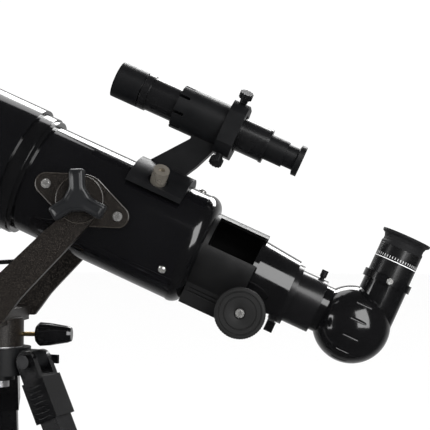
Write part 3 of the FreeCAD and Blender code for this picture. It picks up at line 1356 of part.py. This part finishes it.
os.makedirs("parts", exist_ok=True)
for thing in SUBPARTS:
    thing.Shape.exportStep(os.path.join("parts", thing.Label + ".step"))
print("%d sub-parts" % len(SUBPARTS))
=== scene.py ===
import json
import math

import bpy
from mathutils import Matrix, Vector


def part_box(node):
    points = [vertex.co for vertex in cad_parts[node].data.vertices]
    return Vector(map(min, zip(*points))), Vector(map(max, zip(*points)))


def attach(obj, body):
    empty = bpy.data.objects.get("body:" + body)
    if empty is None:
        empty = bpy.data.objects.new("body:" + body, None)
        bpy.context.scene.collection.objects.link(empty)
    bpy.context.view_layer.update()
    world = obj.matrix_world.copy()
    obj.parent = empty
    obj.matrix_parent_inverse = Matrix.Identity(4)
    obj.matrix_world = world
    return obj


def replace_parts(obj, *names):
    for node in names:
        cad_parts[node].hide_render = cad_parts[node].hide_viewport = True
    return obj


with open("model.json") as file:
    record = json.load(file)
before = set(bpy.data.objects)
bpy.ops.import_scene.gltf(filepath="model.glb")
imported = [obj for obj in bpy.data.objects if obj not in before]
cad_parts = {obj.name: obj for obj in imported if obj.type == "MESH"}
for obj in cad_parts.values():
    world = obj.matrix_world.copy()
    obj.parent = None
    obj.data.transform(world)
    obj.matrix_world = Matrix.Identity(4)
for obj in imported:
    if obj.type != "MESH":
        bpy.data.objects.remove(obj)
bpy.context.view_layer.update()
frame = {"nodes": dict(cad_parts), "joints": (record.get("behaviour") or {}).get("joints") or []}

# A short refractor telescope on its yoke mount and tripod.  Metres, in the frame of the CAD model.
MM = 0.001

# ---------------------------------------------------------------- places, from the frame
JOINTS = {joint["name"]: joint for joint in frame["joints"]}
PIVOT = Vector(JOINTS["altitude"]["pos_m"])
OPTICAL = Vector(JOINTS["drawtube_slide"]["axis"]).normalized()     # towards the eye end
ACROSS = Vector((0.0, 1.0, 0.0))                                    # to the far side
RAISED = OPTICAL.cross(ACROSS)                                      # towards the finder
TILT = math.asin(-OPTICAL.z)                                        # of the tube, at rest
SHAFT = Vector(JOINTS["focus_turn"]["pos_m"])
NEAR, FAR = -1, 1                                                   # sides, along ACROSS
SIDES = ((NEAR, "near"), (FAR, "far"))
PLATE_FACE = (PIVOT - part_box("altitude_plates")[0]).y / MM          # outer faces, from the pivot
ARM_FACE = (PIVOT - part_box("yoke")[0]).y / MM
KNOB_FACE = (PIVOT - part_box("altitude_knob_near")[0]).y / MM
EYE_RADIUS = (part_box("yoke")[1] - PIVOT).x / MM                     # of the yoke's upper end


def tube_point(along, across, up):
    """A point given in millimetres in the tube's own frame, whose origin is the pivot."""
    return PIVOT + (OPTICAL * along + ACROSS * across + RAISED * up) * MM


# ---------------------------------------------------------------- materials
class Finish:
    """A procedural material, put together node by node."""

    def __init__(self, name, edge=0.35, **surface):
        self.material = bpy.data.materials.new(name)
        self.material.use_nodes = True
        self.tree = self.material.node_tree
        self.shader = self.tree.nodes["Principled BSDF"]
        self.place = self.node("TexCoord").outputs["Object"]
        self.normal = None
        if edge:
            self.normal = self.node("Bevel", Radius=edge * MM).outputs["Normal"]
            self.shader_input("Normal", self.normal)
        for socket, value in surface.items():
            self.shader_input(socket.replace("_", " "), value)

    def node(self, kind, settings=None, **inputs):
        made = self.tree.nodes.new("ShaderNode" + kind)
        for name, value in (settings or {}).items():
            setattr(made, name, value)
        for name, value in inputs.items():
            self.feed(made.inputs[name.replace("_", " ")], value)
        return made

    def feed(self, socket, value):
        if isinstance(value, bpy.types.NodeSocket):
            self.tree.links.new(value, socket)
        else:
            socket.default_value = value

    def shader_input(self, name, value):
        if name.endswith("Color") and isinstance(value, tuple) and len(value) == 3:
            value = (*value, 1.0)
        self.feed(self.shader.inputs[name], value)

    def noise(self, size, detail=3.0, stretch=(1, 1, 1)):
        """Noise with features of about that size in millimetres, drawn out by stretch."""
        drawn = self.node("Mapping", Vector=self.place, Scale=tuple(1 / s for s in stretch))
        scale = 1 / (size * MM)
        made = self.node("TexNoise", Vector=drawn.outputs[0], Scale=scale, Detail=detail)
        return made.outputs["Fac"]

    def cells(self, size):
        made = self.node("TexVoronoi", Vector=self.place, Scale=1 / (size * MM))
        return made.outputs["Distance"]

    def spread(self, value, low, high, start=0.3, stop=0.7):
        """value, taken from start..stop to low..high."""
        made = self.node("MapRange", Value=value, From_Min=start, From_Max=stop,
                         To_Min=low, To_Max=high)
        return made.outputs[0]

    def math(self, operation, first, second=0.0):
        made = self.node("Math", {"operation": operation})
        self.feed(made.inputs[0], first)
        self.feed(made.inputs[1], second)
        return made.outputs[0]

    def blend(self, share, first, second):
        """The first colour where share is 0, and the second where it is 1."""
        made = self.node("Mix", {"data_type": "RGBA"})
        self.feed(made.inputs["Factor"], share)
        for socket, colour in ((made.inputs[6], first), (made.inputs[7], second)):
            self.feed(socket, (*colour, 1.0) if isinstance(colour, tuple) else colour)
        return made.outputs[2]

    def distance(self, origin, axis):
        """Distance along an axis from a point, in millimetres."""
        offset = self.node("VectorMath", {"operation": "SUBTRACT"})
        self.feed(offset.inputs[0], self.place)
        self.feed(offset.inputs[1], tuple(origin))
        dot = self.node("VectorMath", {"operation": "DOT_PRODUCT"})
        self.feed(dot.inputs[0], offset.outputs[0])
        self.feed(dot.inputs[1], tuple(axis))
        return self.math("DIVIDE", dot.outputs["Value"], MM)

    def band(self, value, low, high):
        """1 where value lies between low and high."""
        above = self.math("GREATER_THAN", value, low)
        below = self.math("LESS_THAN", value, high)
        return self.math("MULTIPLY", above, below)

    def relief(self, height, depth):
        """Raises the surface by height times depth, in millimetres."""
        bump = self.node("Bump", Height=height, Distance=depth * MM, Strength=1.0)
        if self.normal:
            self.feed(bump.inputs["Normal"], self.normal)
        self.normal = bump.outputs["Normal"]
        self.shader_input("Normal", self.normal)
        return self


DUST = (0.035, 0.035, 0.038)
INK = (0.8, 0.8, 0.8)


def lighter(colour, factor):
    return tuple(min(1.0, part * factor) for part in colour)


def painted(name, colour, roughness, coat=0.0, peel=0.012):
    """Sprayed enamel: a faint orange peel, cloudy gloss and a little dust."""
    made = Finish(name, Coat_Weight=coat, Coat_Roughness=0.12)
    clouds = made.noise(28.0, detail=4.0)
    dust = made.spread(made.noise(0.9, detail=2.0), 0.0, 0.35, 0.66, 0.78)
    base = made.blend(clouds, lighter(colour, 0.8), lighter(colour, 1.3))
    made.shader_input("Base Color", made.blend(dust, base, DUST))
    made.shader_input("Roughness", made.spread(clouds, roughness - 0.05, roughness + 0.07))
    return made.relief(made.noise(2.6, detail=2.0), peel).material


def moulded(name, colour, roughness, grain=0.5, depth=0.03, coat=0.0, gloss=0.5):
    """Moulded plastic with a fine grain and slightly rubbed high spots."""
    made = Finish(name, Coat_Weight=coat, Coat_Roughness=0.06, Specular_IOR_Level=gloss)
    wear = made.noise(16.0, detail=5.0)
    made.shader_input("Base Color", made.blend(wear, lighter(colour, 0.75), lighter(colour, 1.4)))
    made.shader_input("Roughness", made.spread(wear, roughness - 0.05, roughness + 0.08))
    return made.relief(made.noise(grain, detail=3.0), depth).material


def hammered(name, colour, fleck):
    """Hammertone enamel: pitted, with pale flecks in a brown black ground."""
    made = Finish(name, edge=0.6, Metallic=0.25)
    pits = made.cells(1.1)
    flecks = made.spread(made.noise(0.75, detail=3.0), 0.0, 1.0, 0.48, 0.72)
    patches = made.blend(made.noise(9.0, detail=4.0), lighter(colour, 0.75), lighter(colour, 1.25))
    made.shader_input("Base Color", made.blend(flecks, patches, fleck))
    made.shader_input("Roughness", made.spread(flecks, 0.36, 0.55, 0.0, 1.0))
    made.relief(pits, 0.10)
    return made.relief(made.noise(0.4, detail=2.0), 0.05).material


def turned_metal(name, colour, roughness, stretch=(1, 12, 1), metallic=1.0):
    """Bare or plated metal with fine tool marks and cloudy polish."""
    made = Finish(name, edge=0.08, Metallic=metallic)
    marks = made.noise(0.25, 2.0, stretch)
    clouds = made.noise(7.0, detail=4.0)
    made.shader_input("Base Color", made.blend(clouds, lighter(colour, 0.8), colour))
    made.shader_input("Roughness", made.spread(clouds, roughness * 0.7, roughness * 1.4))
    return made.relief(marks, 0.002).material


def soft_rubber(name, colour):
    """Matt rubber with a chalky bloom."""
    made = Finish(name, edge=0.5, Sheen_Weight=0.02, Sheen_Roughness=0.5,
                  Specular_IOR_Level=0.3)
    bloom = made.noise(11.0, detail=5.0)
    made.shader_input("Base Color", made.blend(bloom, colour, lighter(colour, 1.9)))
    made.shader_input("Roughness", made.spread(bloom, 0.55, 0.75))
    return made.relief(made.noise(0.35, detail=3.0), 0.03).material


def coated_glass(name):
    """Lens glass with an anti-reflection coating and a trace of dust."""
    made = Finish(name, edge=0, Transmission_Weight=1.0, IOR=1.5, Coat_Weight=1.0,
                  Coat_Tint=(0.45, 0.75, 0.6, 1.0), Coat_Roughness=0.02)
    dust = made.noise(6.0, detail=5.0)
    made.shader_input("Base Color", made.blend(dust, (0.9, 0.97, 0.93), (0.97, 1.0, 0.98)))
    made.shader_input("Roughness", made.spread(dust, 0.0, 0.03))
    return made.relief(made.noise(1.5, detail=3.0), 0.001).material


# Heights on the eyepiece from the pivot, in millimetres, and the ticks round it.
PRINT_RING, PRINT_TICKS = (58.4, 59.0), (60.0, 62.0)
TICKS, TICK_SPAN = 48, (0.4, 0.55)


def printed_barrel(name, colour):
    """The eyepiece's barrel: satin enamel with a plain printed ring and a row of ticks."""
    made = Finish(name, Coat_Weight=0.35, Coat_Roughness=0.15)
    lift = Vector(JOINTS["eyepiece_lift"]["axis"]).normalized()
    low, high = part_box("eyepiece_body")
    middle = (low + high) / 2
    height = made.distance(PIVOT, lift)
    angle = made.math("ARCTAN2", made.distance(middle, ACROSS), made.distance(middle, OPTICAL))
    turns = made.math("FRACT", made.math("MULTIPLY", angle, TICKS / math.tau))
    ring = made.band(height, *PRINT_RING)
    tick = made.math("MULTIPLY", made.band(height, *PRINT_TICKS), made.band(turns, *TICK_SPAN))
    ink = made.math("MAXIMUM", ring, tick)
    clouds = made.noise(18.0, detail=4.0)
    base = made.blend(clouds, lighter(colour, 0.8), lighter(colour, 1.3))
    made.shader_input("Base Color", made.blend(ink, base, INK))
    made.shader_input("Roughness", made.spread(clouds, 0.2, 0.3))
    return made.relief(made.noise(1.6, detail=2.0), 0.006).material


BLACK = (0.0030, 0.0030, 0.0035)
MATERIALS = {
    "gloss_black": moulded("gloss_black_plastic", (0.0030, 0.0030, 0.0033), 0.12,
                           grain=3.0, depth=0.004, coat=0.6),
    "gloss_paint": painted("gloss_black_enamel", BLACK, 0.08, coat=0.4, peel=0.004),
    "satin_black": moulded("satin_black_plastic", (0.0042, 0.0044, 0.0050), 0.40, gloss=0.25),
    "satin_metal": painted("satin_black_anodised", (0.0045, 0.0045, 0.0050), 0.24,
                           coat=0.2, peel=0.004),
    "hammertone": hammered("brown_black_hammertone", (0.0060, 0.0043, 0.0035),
                           (0.052, 0.043, 0.035)),
    "chrome": turned_metal("polished_chrome", (0.80, 0.79, 0.77), 0.20, metallic=0.85),
    "nickel": turned_metal("nickel_plate", (0.46, 0.42, 0.36), 0.30, metallic=0.82),
    "brass": turned_metal("turned_brass", (0.62, 0.45, 0.20), 0.24),
    "rubber": soft_rubber("black_rubber", (0.0040, 0.0040, 0.0046)),
    "glass": coated_glass("coated_glass"),
    "aluminium": turned_metal("satin_aluminium", (0.60, 0.60, 0.62), 0.32, stretch=(1, 1, 14)),
    "steel": turned_metal("zinc_plated_steel", (0.56, 0.56, 0.57), 0.30, metallic=0.8),
}
KNOB_SATIN = moulded("satin_knob_plastic", (0.0085, 0.0090, 0.0100), 0.30,
                     grain=0.8, depth=0.012)
KNOB_MATT = moulded("matt_knob_plastic", (0.0085, 0.0085, 0.0085), 0.55,
                    grain=0.35, depth=0.02, gloss=0.3)
# Lighter brown than the hammertone: a painted highlight along the rims round the altitude plates
# and the yoke's eyes.
RIM_HIGHLIGHT_ENAMEL = painted("rim_painted_highlight_enamel", (0.030, 0.026, 0.022), 0.24, coat=0.4)

# Nodes that look unlike the rest of their slot.
SPECIAL = {
    "eyepiece_body": printed_barrel("printed_eyepiece_enamel", (0.0040, 0.0040, 0.0043)),
    "focuser_housing": moulded("focuser_plastic", (0.0045, 0.0045, 0.0048), 0.36,
                               grain=0.9, depth=0.008, gloss=0.4),
    "leg_hinge_bolts": turned_metal("blackened_steel", (0.060, 0.060, 0.062), 0.38),
    "leg_heads": MATERIALS["gloss_black"],
}

for node in frame["nodes"].values():
    for index, old in enumerate(node.data.materials):
        node.data.materials[index] = MATERIALS[old.name.split(".")[0]]
for name, material in SPECIAL.items():
    frame["nodes"][name].data.materials[0] = material


# ---------------------------------------------------------------- pieces
def new_object(name, data):
    """An object in the scene that shows that data."""
    made = bpy.data.objects.new(name, data)
    bpy.context.scene.collection.objects.link(made)
    return made


def piece(name, points, faces, body, slot, material, sharp=40):
    """A mesh piece that rides on a body."""
    mesh = bpy.data.meshes.new(name)
    mesh.from_pydata([tuple(point) for point in points], [], faces)
    mesh.validate()
    mesh.shade_smooth()
    mesh.set_sharp_from_angle(angle=math.radians(sharp))
    mesh.materials.append(material)
    made = new_object(name, mesh)
    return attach(made, body)


def skin(rings, closed=False):
    """Points and quads through rings of equal length; capped at both ends unless closed."""
    size = len(rings[0])
    points = [point for ring in rings for point in ring]
    faces = []
    for row in range(len(rings) if closed else len(rings) - 1):
        start, after = row * size, (row + 1) % len(rings) * size
        for i in range(size):
            j = (i + 1) % size
            faces.append((start + i, start + j, after + j, after + i))
    if not closed:
        faces.append(tuple(reversed(range(size))))
        faces.append(tuple(range(len(points) - size, len(points))))
    return points, faces


def hull_outline(hub, end, reach, steps=24):
    """Outline round a hub circle and two smaller circles at plus and minus reach."""
    lean = math.asin((hub - end) / reach)
    outline = []
    for centre, radius, first, last in (
            (reach, end, -math.pi / 2 + lean, math.pi / 2 - lean),
            (0.0, hub, math.pi / 2 - lean, math.pi / 2 + lean),
            (-reach, end, math.pi / 2 + lean, 1.5 * math.pi - lean),
            (0.0, hub, 1.5 * math.pi - lean, 1.5 * math.pi + lean)):
        for step in range(steps):
            angle = first + (last - first) * step / (steps - 1)
            outline.append((centre + radius * math.cos(angle), radius * math.sin(angle)))
    return outline


def bead(name, outline, across, width, body, sides=8):
    """A rounded rim that follows an outline in the tube's frame, at that distance across; its
    enamel, lighter than the hammertone, is a painted highlight on the edge.
    """
    rings = []
    count = len(outline)
    for i, (along, up) in enumerate(outline):
        before, after = outline[i - 1], outline[(i + 1) % count]
        run = Vector((after[0] - before[0], after[1] - before[1])).normalized()
        ring = []
        for side in range(sides):
            angle = math.tau * side / sides
            out = width * math.cos(angle)
            ring.append(tube_point(along + run.y * out, across + width * math.sin(angle),
                                   up - run.x * out))
        rings.append(ring)
    points, faces = skin(rings, closed=True)
    return piece(name, points, faces, body, "hammertone", RIM_HIGHLIGHT_ENAMEL)


PLATE_HUB, PLATE_END, PLATE_REACH = 20.5, 9.0, 31.0
RIM, RIM_SINK = 0.5, 0.1            # half a rim's width, and how far the yoke's lies in its face
POINT_REACH = 0.001                 # a reach that leaves the outline a circle
plate = hull_outline(PLATE_HUB - RIM, PLATE_END - RIM, PLATE_REACH)
eye = hull_outline(EYE_RADIUS - RIM, EYE_RADIUS - RIM, POINT_REACH, 36)
for side, word in SIDES:
    bead("altitude_plate_rim_" + word, plate, side * PLATE_FACE, RIM, "tube")
for side, word in SIDES:
    bead("yoke_eye_rim_" + word, eye, side * (ARM_FACE - RIM_SINK), RIM, "yoke")


LOBES, LOBE_REACH, LOBE_HALF, LOBE_CORNER, LOBE_CORE = 3, 23.0, 5.9, 2.0, 9.5
LOBE_UP = math.radians(92.0)        # the first lobe's direction at the near side, from +X
SOFTNESS = 3.0                      # how widely the lobes flow into the core
HALVINGS = 24                       # of the search for the outline
KNOB_GAP = 0.8                      # between the yoke's arm and the knob
KNOB_START = ARM_FACE + KNOB_GAP
KNOB_STEPS = 144


def lobed_radius(angle, inset, first):
    """Where a ray from the middle meets the outline of a lobed knob, drawn in by inset."""
    def depth(radius):
        x, y = radius * math.cos(angle), radius * math.sin(angle)
        found = math.hypot(x, y) - LOBE_CORE
        for lobe in range(LOBES):
            turn = first + math.tau * lobe / LOBES
            along = abs(x * math.cos(turn) + y * math.sin(turn) - LOBE_REACH / 2)
            aside = abs(-x * math.sin(turn) + y * math.cos(turn))
            over = (along - LOBE_REACH / 2 + LOBE_CORNER, aside - LOBE_HALF + LOBE_CORNER)
            outside = math.hypot(max(over[0], 0.0), max(over[1], 0.0))
            spoke = outside + min(max(over), 0.0) - LOBE_CORNER
            mix = min(max(0.5 + 0.5 * (found - spoke) / SOFTNESS, 0.0), 1.0)
            found = found * (1 - mix) + spoke * mix - SOFTNESS * mix * (1 - mix)
        return found

    low, high = 0.0, LOBE_REACH * 1.2
    for _ in range(HALVINGS):
        middle = (low + high) / 2
        if depth(middle) < -inset:
            low = middle
        else:
            high = middle
    return low


def lobed_knob(name, side, first, body):
    """A three-lobed knob with rounded edges and a shallow dish round its middle."""
    # height from the middle plane, and how far the outline is drawn in there
    layers = [(KNOB_START, 1.4), (KNOB_START + 0.5, 0.4), (KNOB_START + 1.4, 0.0),
              (KNOB_FACE - 2.4, 0.0), (KNOB_FACE - 1.2, 0.35), (KNOB_FACE - 0.4, 1.1),
              (KNOB_FACE, 2.1), (KNOB_FACE - 0.35, 2.8), (KNOB_FACE - 0.9, 3.4),
              (KNOB_FACE - 1.0, 4.4)]
    rings = []
    for height, inset in layers:
        ring = []
        for step in range(KNOB_STEPS):
            angle = math.tau * step / KNOB_STEPS
            radius = lobed_radius(angle, inset, first)
            ring.append(tube_point(radius * math.cos(angle), side * height,
                                   radius * math.sin(angle)))
        rings.append(ring if side == NEAR else list(reversed(ring)))
    made = piece(name, *skin(rings), body, "satin_black", KNOB_SATIN)
    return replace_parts(made, name.replace("_lobes", ""))


for side, word in SIDES:
    lobed_knob("altitude_knob_" + word + "_lobes", side, TILT - side * LOBE_UP,
               "altitude_knob_" + word)


KNOB_RADIUS, KNOB_OUT, KNOB_THICK, HUB_RADIUS, HUB_START = 20.0, 55.0, 10.0, 9.0, 32.0
GROOVES = (16.5, 12.5)              # radii of the rings cut in the knob's face
SCREW_WELL = 4.9                    # radius of the recess for the screw
FLUTES, FLUTE_DEPTH = 60, 0.35
LATHE_STEPS = 360


def lathe(name, profile, centre, axis, start, body, slot, material):
    """A turned piece.  profile lists (distance along the axis, radius, is it fluted) in mm."""
    across = axis.cross(start)
    rings = []
    for height, radius, fluted in profile:
        ring = []
        for step in range(LATHE_STEPS):
            angle = math.tau * step / LATHE_STEPS
            cut = FLUTE_DEPTH * (0.5 - 0.5 * math.cos(FLUTES * angle)) if fluted else 0.0
            out = start * math.cos(angle) + across * math.sin(angle)
            ring.append(centre + (axis * height + out * (radius - cut)) * MM)
        rings.append(ring)
    return piece(name, *skin(rings), body, slot, material)


def focus_knob_profile():
    """From the hub's inner face, over the fluted rim, to the recess for the screw."""
    back = KNOB_OUT - KNOB_THICK
    points = [(HUB_START, HUB_RADIUS - 0.5, 0), (HUB_START + 0.5, HUB_RADIUS, 0),
              (back - 0.8, HUB_RADIUS, 0), (back, HUB_RADIUS + 0.8, 0),
              (back, KNOB_RADIUS - 1.4, 0), (back + 0.4, KNOB_RADIUS - 0.5, 0),
              (back + 1.2, KNOB_RADIUS, 1), (KNOB_OUT - 1.4, KNOB_RADIUS, 1),
              (KNOB_OUT - 0.4, KNOB_RADIUS - 0.6, 0), (KNOB_OUT, KNOB_RADIUS - 1.5, 0)]
    for radius in GROOVES:
        points += [(KNOB_OUT, radius + 0.6, 0), (KNOB_OUT - 0.5, radius + 0.3, 0),
                   (KNOB_OUT - 0.5, radius - 0.3, 0), (KNOB_OUT, radius - 0.6, 0)]
    points += [(KNOB_OUT, SCREW_WELL, 0), (KNOB_OUT - 0.3, SCREW_WELL - 0.4, 0),
               (KNOB_OUT - 1.4, SCREW_WELL - 0.5, 0)]
    return points


for side, word in SIDES:
    knob = lathe("focus_knob_" + word, focus_knob_profile(), SHAFT, ACROSS * side, OPTICAL,
                 "focus", "satin_black", KNOB_MATT)
    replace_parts(knob, "focus_knobs")


# ---------------------------------------------------------------- floor, light and camera
FLOOR_HALF, FLOOR_WHITE = 30.0, (0.99, 0.99, 0.99)
OPEN_LIGHT = 1.05                   # the world's strength, except in reflections
DIM_SIDE, PALE_SIDE = 0.03, 0.42    # its strength in reflections, from the camera's side and behind
PALE_FROM, PALE_TO = 0.4, 0.95      # where the one turns into the other, as the direction's Y


def stage_plane(name, half, colour):
    """A wide floor of mottled paper, left out of reflections."""
    mesh = bpy.data.meshes.new(name)
    mesh.from_pydata([(-half, -half, 0), (half, -half, 0), (half, half, 0), (-half, half, 0)],
                     [], [(0, 1, 2, 3)])
    paper = Finish(name + "_paper", edge=0, Roughness=0.9)
    mottle = paper.noise(40.0, detail=2.0)
    paper.shader_input("Base Color", paper.blend(mottle, colour, lighter(colour, 1.02)))
    mesh.materials.append(paper.material)
    made = new_object(name, mesh)
    made.visible_glossy = False


def studio_world():
    """White behind the object, and dim in reflections except for a pale backdrop."""
    world = bpy.data.worlds.new("studio")
    bpy.context.scene.world = world
    world.use_nodes = True
    nodes, links = world.node_tree.nodes, world.node_tree.links
    direction = nodes.new("ShaderNodeSeparateXYZ")
    links.new(nodes.new("ShaderNodeTexCoord").outputs["Generated"], direction.inputs[0])
    backdrop = nodes.new("ShaderNodeMapRange")
    links.new(direction.outputs["Y"], backdrop.inputs["Value"])
    for name, value in (("From Min", PALE_FROM), ("From Max", PALE_TO),
                        ("To Min", DIM_SIDE), ("To Max", PALE_SIDE)):
        backdrop.inputs[name].default_value = value
    rays = nodes.new("ShaderNodeLightPath")
    strength = nodes.new("ShaderNodeMix")
    links.new(rays.outputs["Is Glossy Ray"], strength.inputs["Factor"])
    strength.inputs[2].default_value = OPEN_LIGHT
    links.new(backdrop.outputs[0], strength.inputs[3])
    links.new(strength.outputs[0], nodes["Background"].inputs["Strength"])
    nodes["Background"].inputs["Color"].default_value = (1.0, 1.0, 1.0, 1.0)


def softbox(name, toward, distance, width, height, power):
    """A large area light aimed at the pivot from a direction."""
    lamp = bpy.data.lights.new(name, "AREA")
    lamp.shape, lamp.size, lamp.size_y, lamp.energy = "RECTANGLE", width, height, power
    made = new_object(name, lamp)
    made.location = PIVOT + toward.normalized() * distance
    made.rotation_euler = (-toward).to_track_quat("-Z", "Y").to_euler()
    made.visible_camera = False


stage_plane("studio_floor", FLOOR_HALF, FLOOR_WHITE)
studio_world()
softbox("key_softbox", Vector((0.60, -0.76, 0.26)), 1.6, width=1.0, height=1.4, power=20.0)
softbox("back_softbox", Vector((0.0, 1.0, 0.87)), 1.9, width=3.4, height=0.58, power=50.0)
softbox("top_softbox", Vector((-0.3, 0.35, 1.0)), 1.6, width=1.6, height=0.6, power=5.0)
softbox("left_softbox", Vector((-1.0, -0.45, 0.1)), 1.8, width=0.5, height=1.2, power=9.0)

# The camera stands a little to the right of the pivot and below it, and looks slightly up.
CAMERA_FROM_PIVOT = Vector((0.1535, -0.8502, -0.0368))
YAW, PITCH, ROLL = math.radians(3.52), math.radians(1.81), math.radians(-0.25)
LENS, SENSOR = 87.08, 36.0
CLIP = (0.05, 100.0)
camera = new_object("camera", bpy.data.cameras.new("camera"))
camera.data.lens = LENS
camera.data.sensor_width = SENSOR
camera.data.clip_start, camera.data.clip_end = CLIP
camera.matrix_world = (Matrix.Translation(PIVOT + CAMERA_FROM_PIVOT)
                       @ Matrix.Rotation(YAW, 4, "Z")
                       @ Matrix.Rotation(math.pi / 2 + PITCH, 4, "X")
                       @ Matrix.Rotation(-ROLL, 4, "Z"))
bpy.context.scene.camera = camera
bpy.context.scene.view_settings.view_transform = "Standard"
